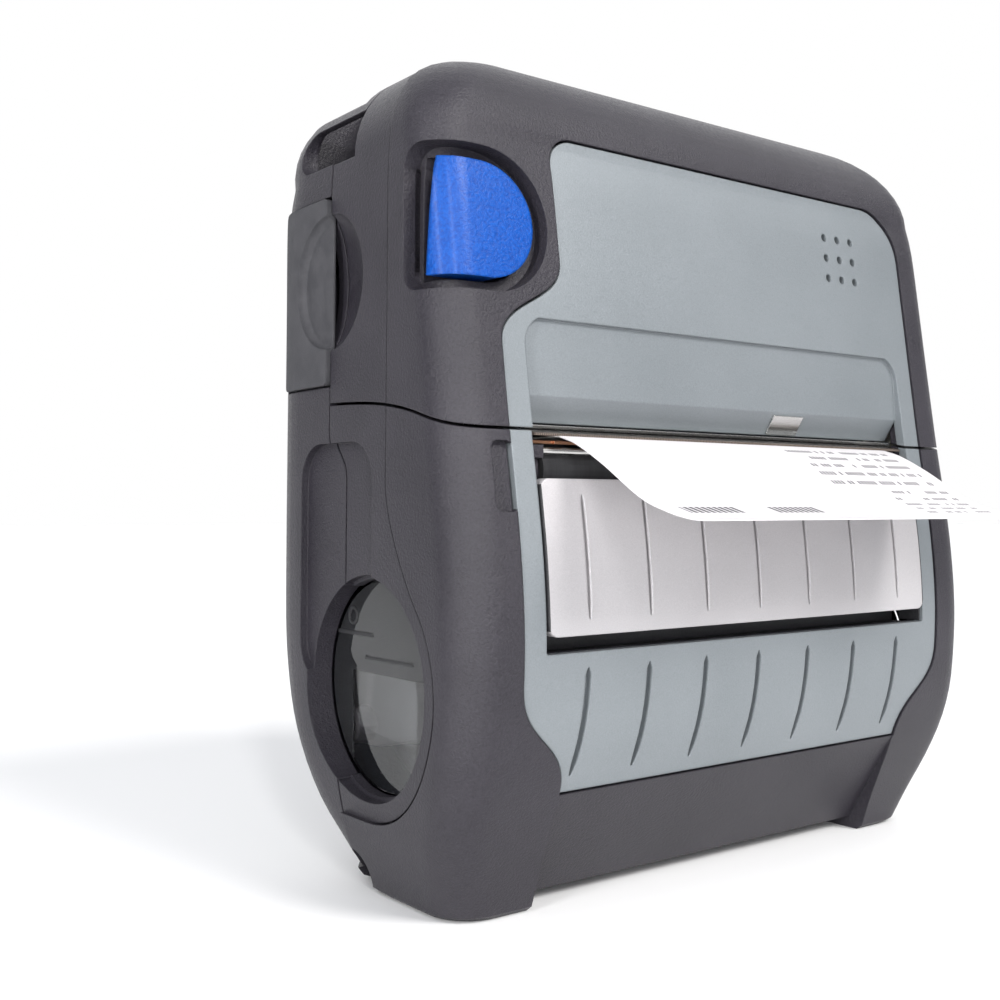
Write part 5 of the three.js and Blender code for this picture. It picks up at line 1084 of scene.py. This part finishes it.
def print_finish():
    """Smooth white paper with dark grey dashes in rows, as masks over the label's own length and width."""
    f = Finish("printed_paper", (0.82, 0.8, 0.81), Roughness=0.55, Specular_IOR_Level=0.35)
    x = f.axis("X")
    y = f.axis("Y")
    up = f.axis("Z", f.node("ShaderNodeNewGeometry", None, output=1)) > 0.2

    def dashes(x0, x1, y0, y1, letter, row, share, least):
        """Dashes as wide as a letter in the rows of one block; share is how much of a row they fill."""
        column = f.node("ShaderNodeMath", {"operation": "FLOOR"}, x * (1 / (letter * MM)))
        line = f.node("ShaderNodeMath", {"operation": "FLOOR"}, y * (1 / (row * MM)))
        cell = f.node("ShaderNodeCombineXYZ", None, column, line)
        kept = f.node("ShaderNodeTexWhiteNoise", {"noise_dimensions": "2D"}, Vector=cell)
        across = f.node("ShaderNodeMath", {"operation": "FRACT"}, x * (1 / (letter * MM))) < 0.62
        tall = f.node("ShaderNodeMath", {"operation": "FRACT"}, y * (1 / (row * MM))) < share
        return x.between(x0, x1) * y.between(y0, y1) * across * tall * (kept > least)

    # two bars of big letters near the free end, and two blocks of small ones
    ink = dashes(-46, -31.5, -75, -71.5, 1.5, 14, 2, 0.1) + dashes(-23, -9, -75, -71.5, 1.5, 14, 2, 0.1)
    ink += dashes(10, 46, -62, -48, 1.1, 3.1, 0.4, 0.3) + dashes(24, 47, -76, -64, 1.1, 2.6, 0.4, 0.35)
    ink = f.node("ShaderNodeClamp", None, ink) * up
    fibres = f.noise(1500, 4, 0.6)
    ground = f.blend(fibres, (0.64, 0.615, 0.63), (0.71, 0.69, 0.7))
    f.feed("Base Color", f.blend(ink * 0.93, ground, (0.03, 0.028, 0.035)))
    f.feed("Roughness", f.spread(fibres, 0.48, 0.62))
    f.relief(fibres, 0.00002)
    return f


LABEL_STEPS = 40
label_line = []
for step in range(LABEL_STEPS + 1):
    share = step / LABEL_STEPS
    label_line.append((LABEL_Y - LABEL_REACH * share, LABEL_Z - LABEL_FALL * along(LABEL_SHARES, share)))
printed_label = plate(label_line + [(y, z + PAPER) for y, z in reversed(label_line)], "X", -LABEL_HALF, LABEL_HALF)
place_piece(printed_label, "printed_label_sheet", print_finish(), "housing", "paper", "printed_label", angle=60)


def web_finish():
    """Bare label paper."""
    f = Finish("web_paper", (0.5, 0.49, 0.48), Roughness=0.75, Specular_IOR_Level=0.3)
    fibres = f.noise(600, 4, 0.6)
    f.feed("Base Color", f.blend(fibres, (0.46, 0.45, 0.44), (0.56, 0.55, 0.54)))
    f.relief(fibres, 0.00001)
    return f


coat(web_finish(), "label_web")

# The inner parts that show through the windows and the mouth keep their CAD shapes: the label guides, the print
# head, the sensor's cover, the green board, the lamp and the screws.
LOWER_GREY_Z = 45.5


def guide_finish():
    """Black moulded plastic, grey below a set height and near-black above it."""
    f = Finish("guide_plastic", (0.2, 0.19, 0.2), Roughness=0.38)
    grain = f.noise(300, 4, 0.6)
    z = f.axis("Z")
    lower_grey = f.blend(grain, (0.17, 0.155, 0.165), (0.27, 0.25, 0.26))
    # The guide is drawn grey below a set height and near-black above it.
    f.feed("Base Color", f.blend(z < LOWER_GREY_Z * MM, (0.012, 0.013, 0.016), lower_grey))
    f.feed("Roughness", f.spread(grain, 0.3, 0.5))
    f.relief(grain, 0.00004, 0.0005)
    return f


def board_finish():
    """Green solder mask with faint copper tracks under it."""
    f = Finish("circuit_board", (0.02, 0.12, 0.05), Roughness=0.35)
    tracks = f.node("ShaderNodeTexVoronoi", {"distance": "MANHATTAN", "feature": "F1"}, Vector=f.place,
                    Scale=240.0)
    f.feed("Base Color", f.blend(f.spread(tracks, 0.0, 1.0, 0.3, 0.5),
                                 (0.012, 0.085, 0.035), (0.03, 0.16, 0.07)))
    f.relief(tracks, 0.00003)
    return f


def lamp_finish():
    """A diffusing green window with a soft glow."""
    f = Finish("green_lamp", (0.1, 0.6, 0.15), Roughness=0.25, Emission_Strength=0.6)
    glow = f.noise(400, 2)
    f.feed("Base Color", f.blend(glow, (0.06, 0.45, 0.1), (0.14, 0.7, 0.2)))
    f.feed("Emission Color", f.blend(glow, (0.05, 0.6, 0.1), (0.1, 0.9, 0.2)))
    return f


coat(guide_finish(), "guide_left", "guide_right")
coat(black, "print_head")
coat(board_finish(), "main_board")
coat(lamp_finish(), "status_lamp")
coat(steel, "label_sensor", "rear_screw_1", "rear_screw_2", "rear_screw_3", "rear_screw_4")

# The printer stands on a plain pale floor. A soft key light comes from the front right, a wide one from above, and
# two tall strips put highlights on the left front corner. The camera stands to the printer's left.


bpy.ops.object.select_all(action="DESELECT")
bpy.ops.mesh.primitive_plane_add(size=12, location=(0, 0, 0))
floor = bpy.context.object
floor.name = "floor"
floor.data.materials.append(Finish("floor_paper", (0.9, 0.9, 0.9), Roughness=0.7).material)


def lamp(name, kind, towards, power):
    light = bpy.data.objects.new(name, bpy.data.lights.new(name, kind))
    bpy.context.scene.collection.objects.link(light)
    light.rotation_euler = Vector(towards).to_track_quat("-Z", "Y").to_euler()
    light.data.energy = power
    return light


def strip_light(name, place, aim, width, height, power):
    light = lamp(name, "AREA", Vector(aim) - Vector(place), power)
    light.location = place
    light.data.shape = "RECTANGLE"
    light.data.size, light.data.size_y = width, height


def sun(name, towards, strength, angle, color):
    light = lamp(name, "SUN", towards, strength)
    light.data.angle, light.data.color = math.radians(angle), color


sun("key_light", (-0.3, 0.92, -0.75), 2.6, 22, (1, 0.985, 0.965))
sun("top_light", (-0.2, -0.25, -1.2), 1.3, 120, (0.97, 0.98, 1))
FRONT_CORNER_PLACE = (-0.07, -0.03, 0.1)
strip_light("corner_light", (-0.45, -0.85, 0.3), FRONT_CORNER_PLACE, 0.07, 0.8, 7)
strip_light("edge_light", (-0.85, -0.35, 0.25), FRONT_CORNER_PLACE, 0.06, 0.8, 7)

# The surround is white behind the printer and dim on the camera's side, so that the dark plastic stays dark
bpy.context.scene.view_settings.view_transform = "Standard"
HEADING, PITCH, ROLL = math.radians(37.1), math.radians(0.45), math.radians(0.04)
world = bpy.data.worlds.new("studio")
bpy.context.scene.world = world
world.use_nodes = True
sky = world.node_tree
background = sky.nodes["Background"]
direction = sky.nodes.new("ShaderNodeTexCoord")
ahead = sky.nodes.new("ShaderNodeVectorMath")
ahead.operation = "DOT_PRODUCT"
ahead.inputs[1].default_value = (math.sin(HEADING), math.cos(HEADING), 0)
ramp = sky.nodes.new("ShaderNodeValToRGB")
ramp.color_ramp.interpolation = "EASE"
ramp.color_ramp.elements[0].position, ramp.color_ramp.elements[0].color = 0.35, (0.13, 0.14, 0.165, 1)
ramp.color_ramp.elements[1].position, ramp.color_ramp.elements[1].color = 0.75, (1, 1, 1, 1)
sky.links.new(direction.outputs["Generated"], ahead.inputs[0])
sky.links.new(ahead.outputs["Value"], ramp.inputs[0])
sky.links.new(ramp.outputs["Color"], background.inputs["Color"])

camera = bpy.data.objects.new("camera", bpy.data.cameras.new("camera"))
bpy.context.scene.collection.objects.link(camera)
camera.location = (-0.2041, -0.2285, 0.0787)
camera.data.lens, camera.data.sensor_width = 44.9, 36
camera.rotation_mode = "XYZ"
camera.rotation_euler = (math.pi / 2 + PITCH, ROLL, -HEADING)
camera.data.clip_start = 0.01
bpy.context.scene.camera = camera

# The forms that were only copied or cut with go
for spare in (skin, hollow, core, shell, bumper_cut, bumper_groove, scoop_cup, panel_skin, dish_pad, column_cut,
              hinge_notch, cover_region):
    bpy.data.objects.remove(spare)
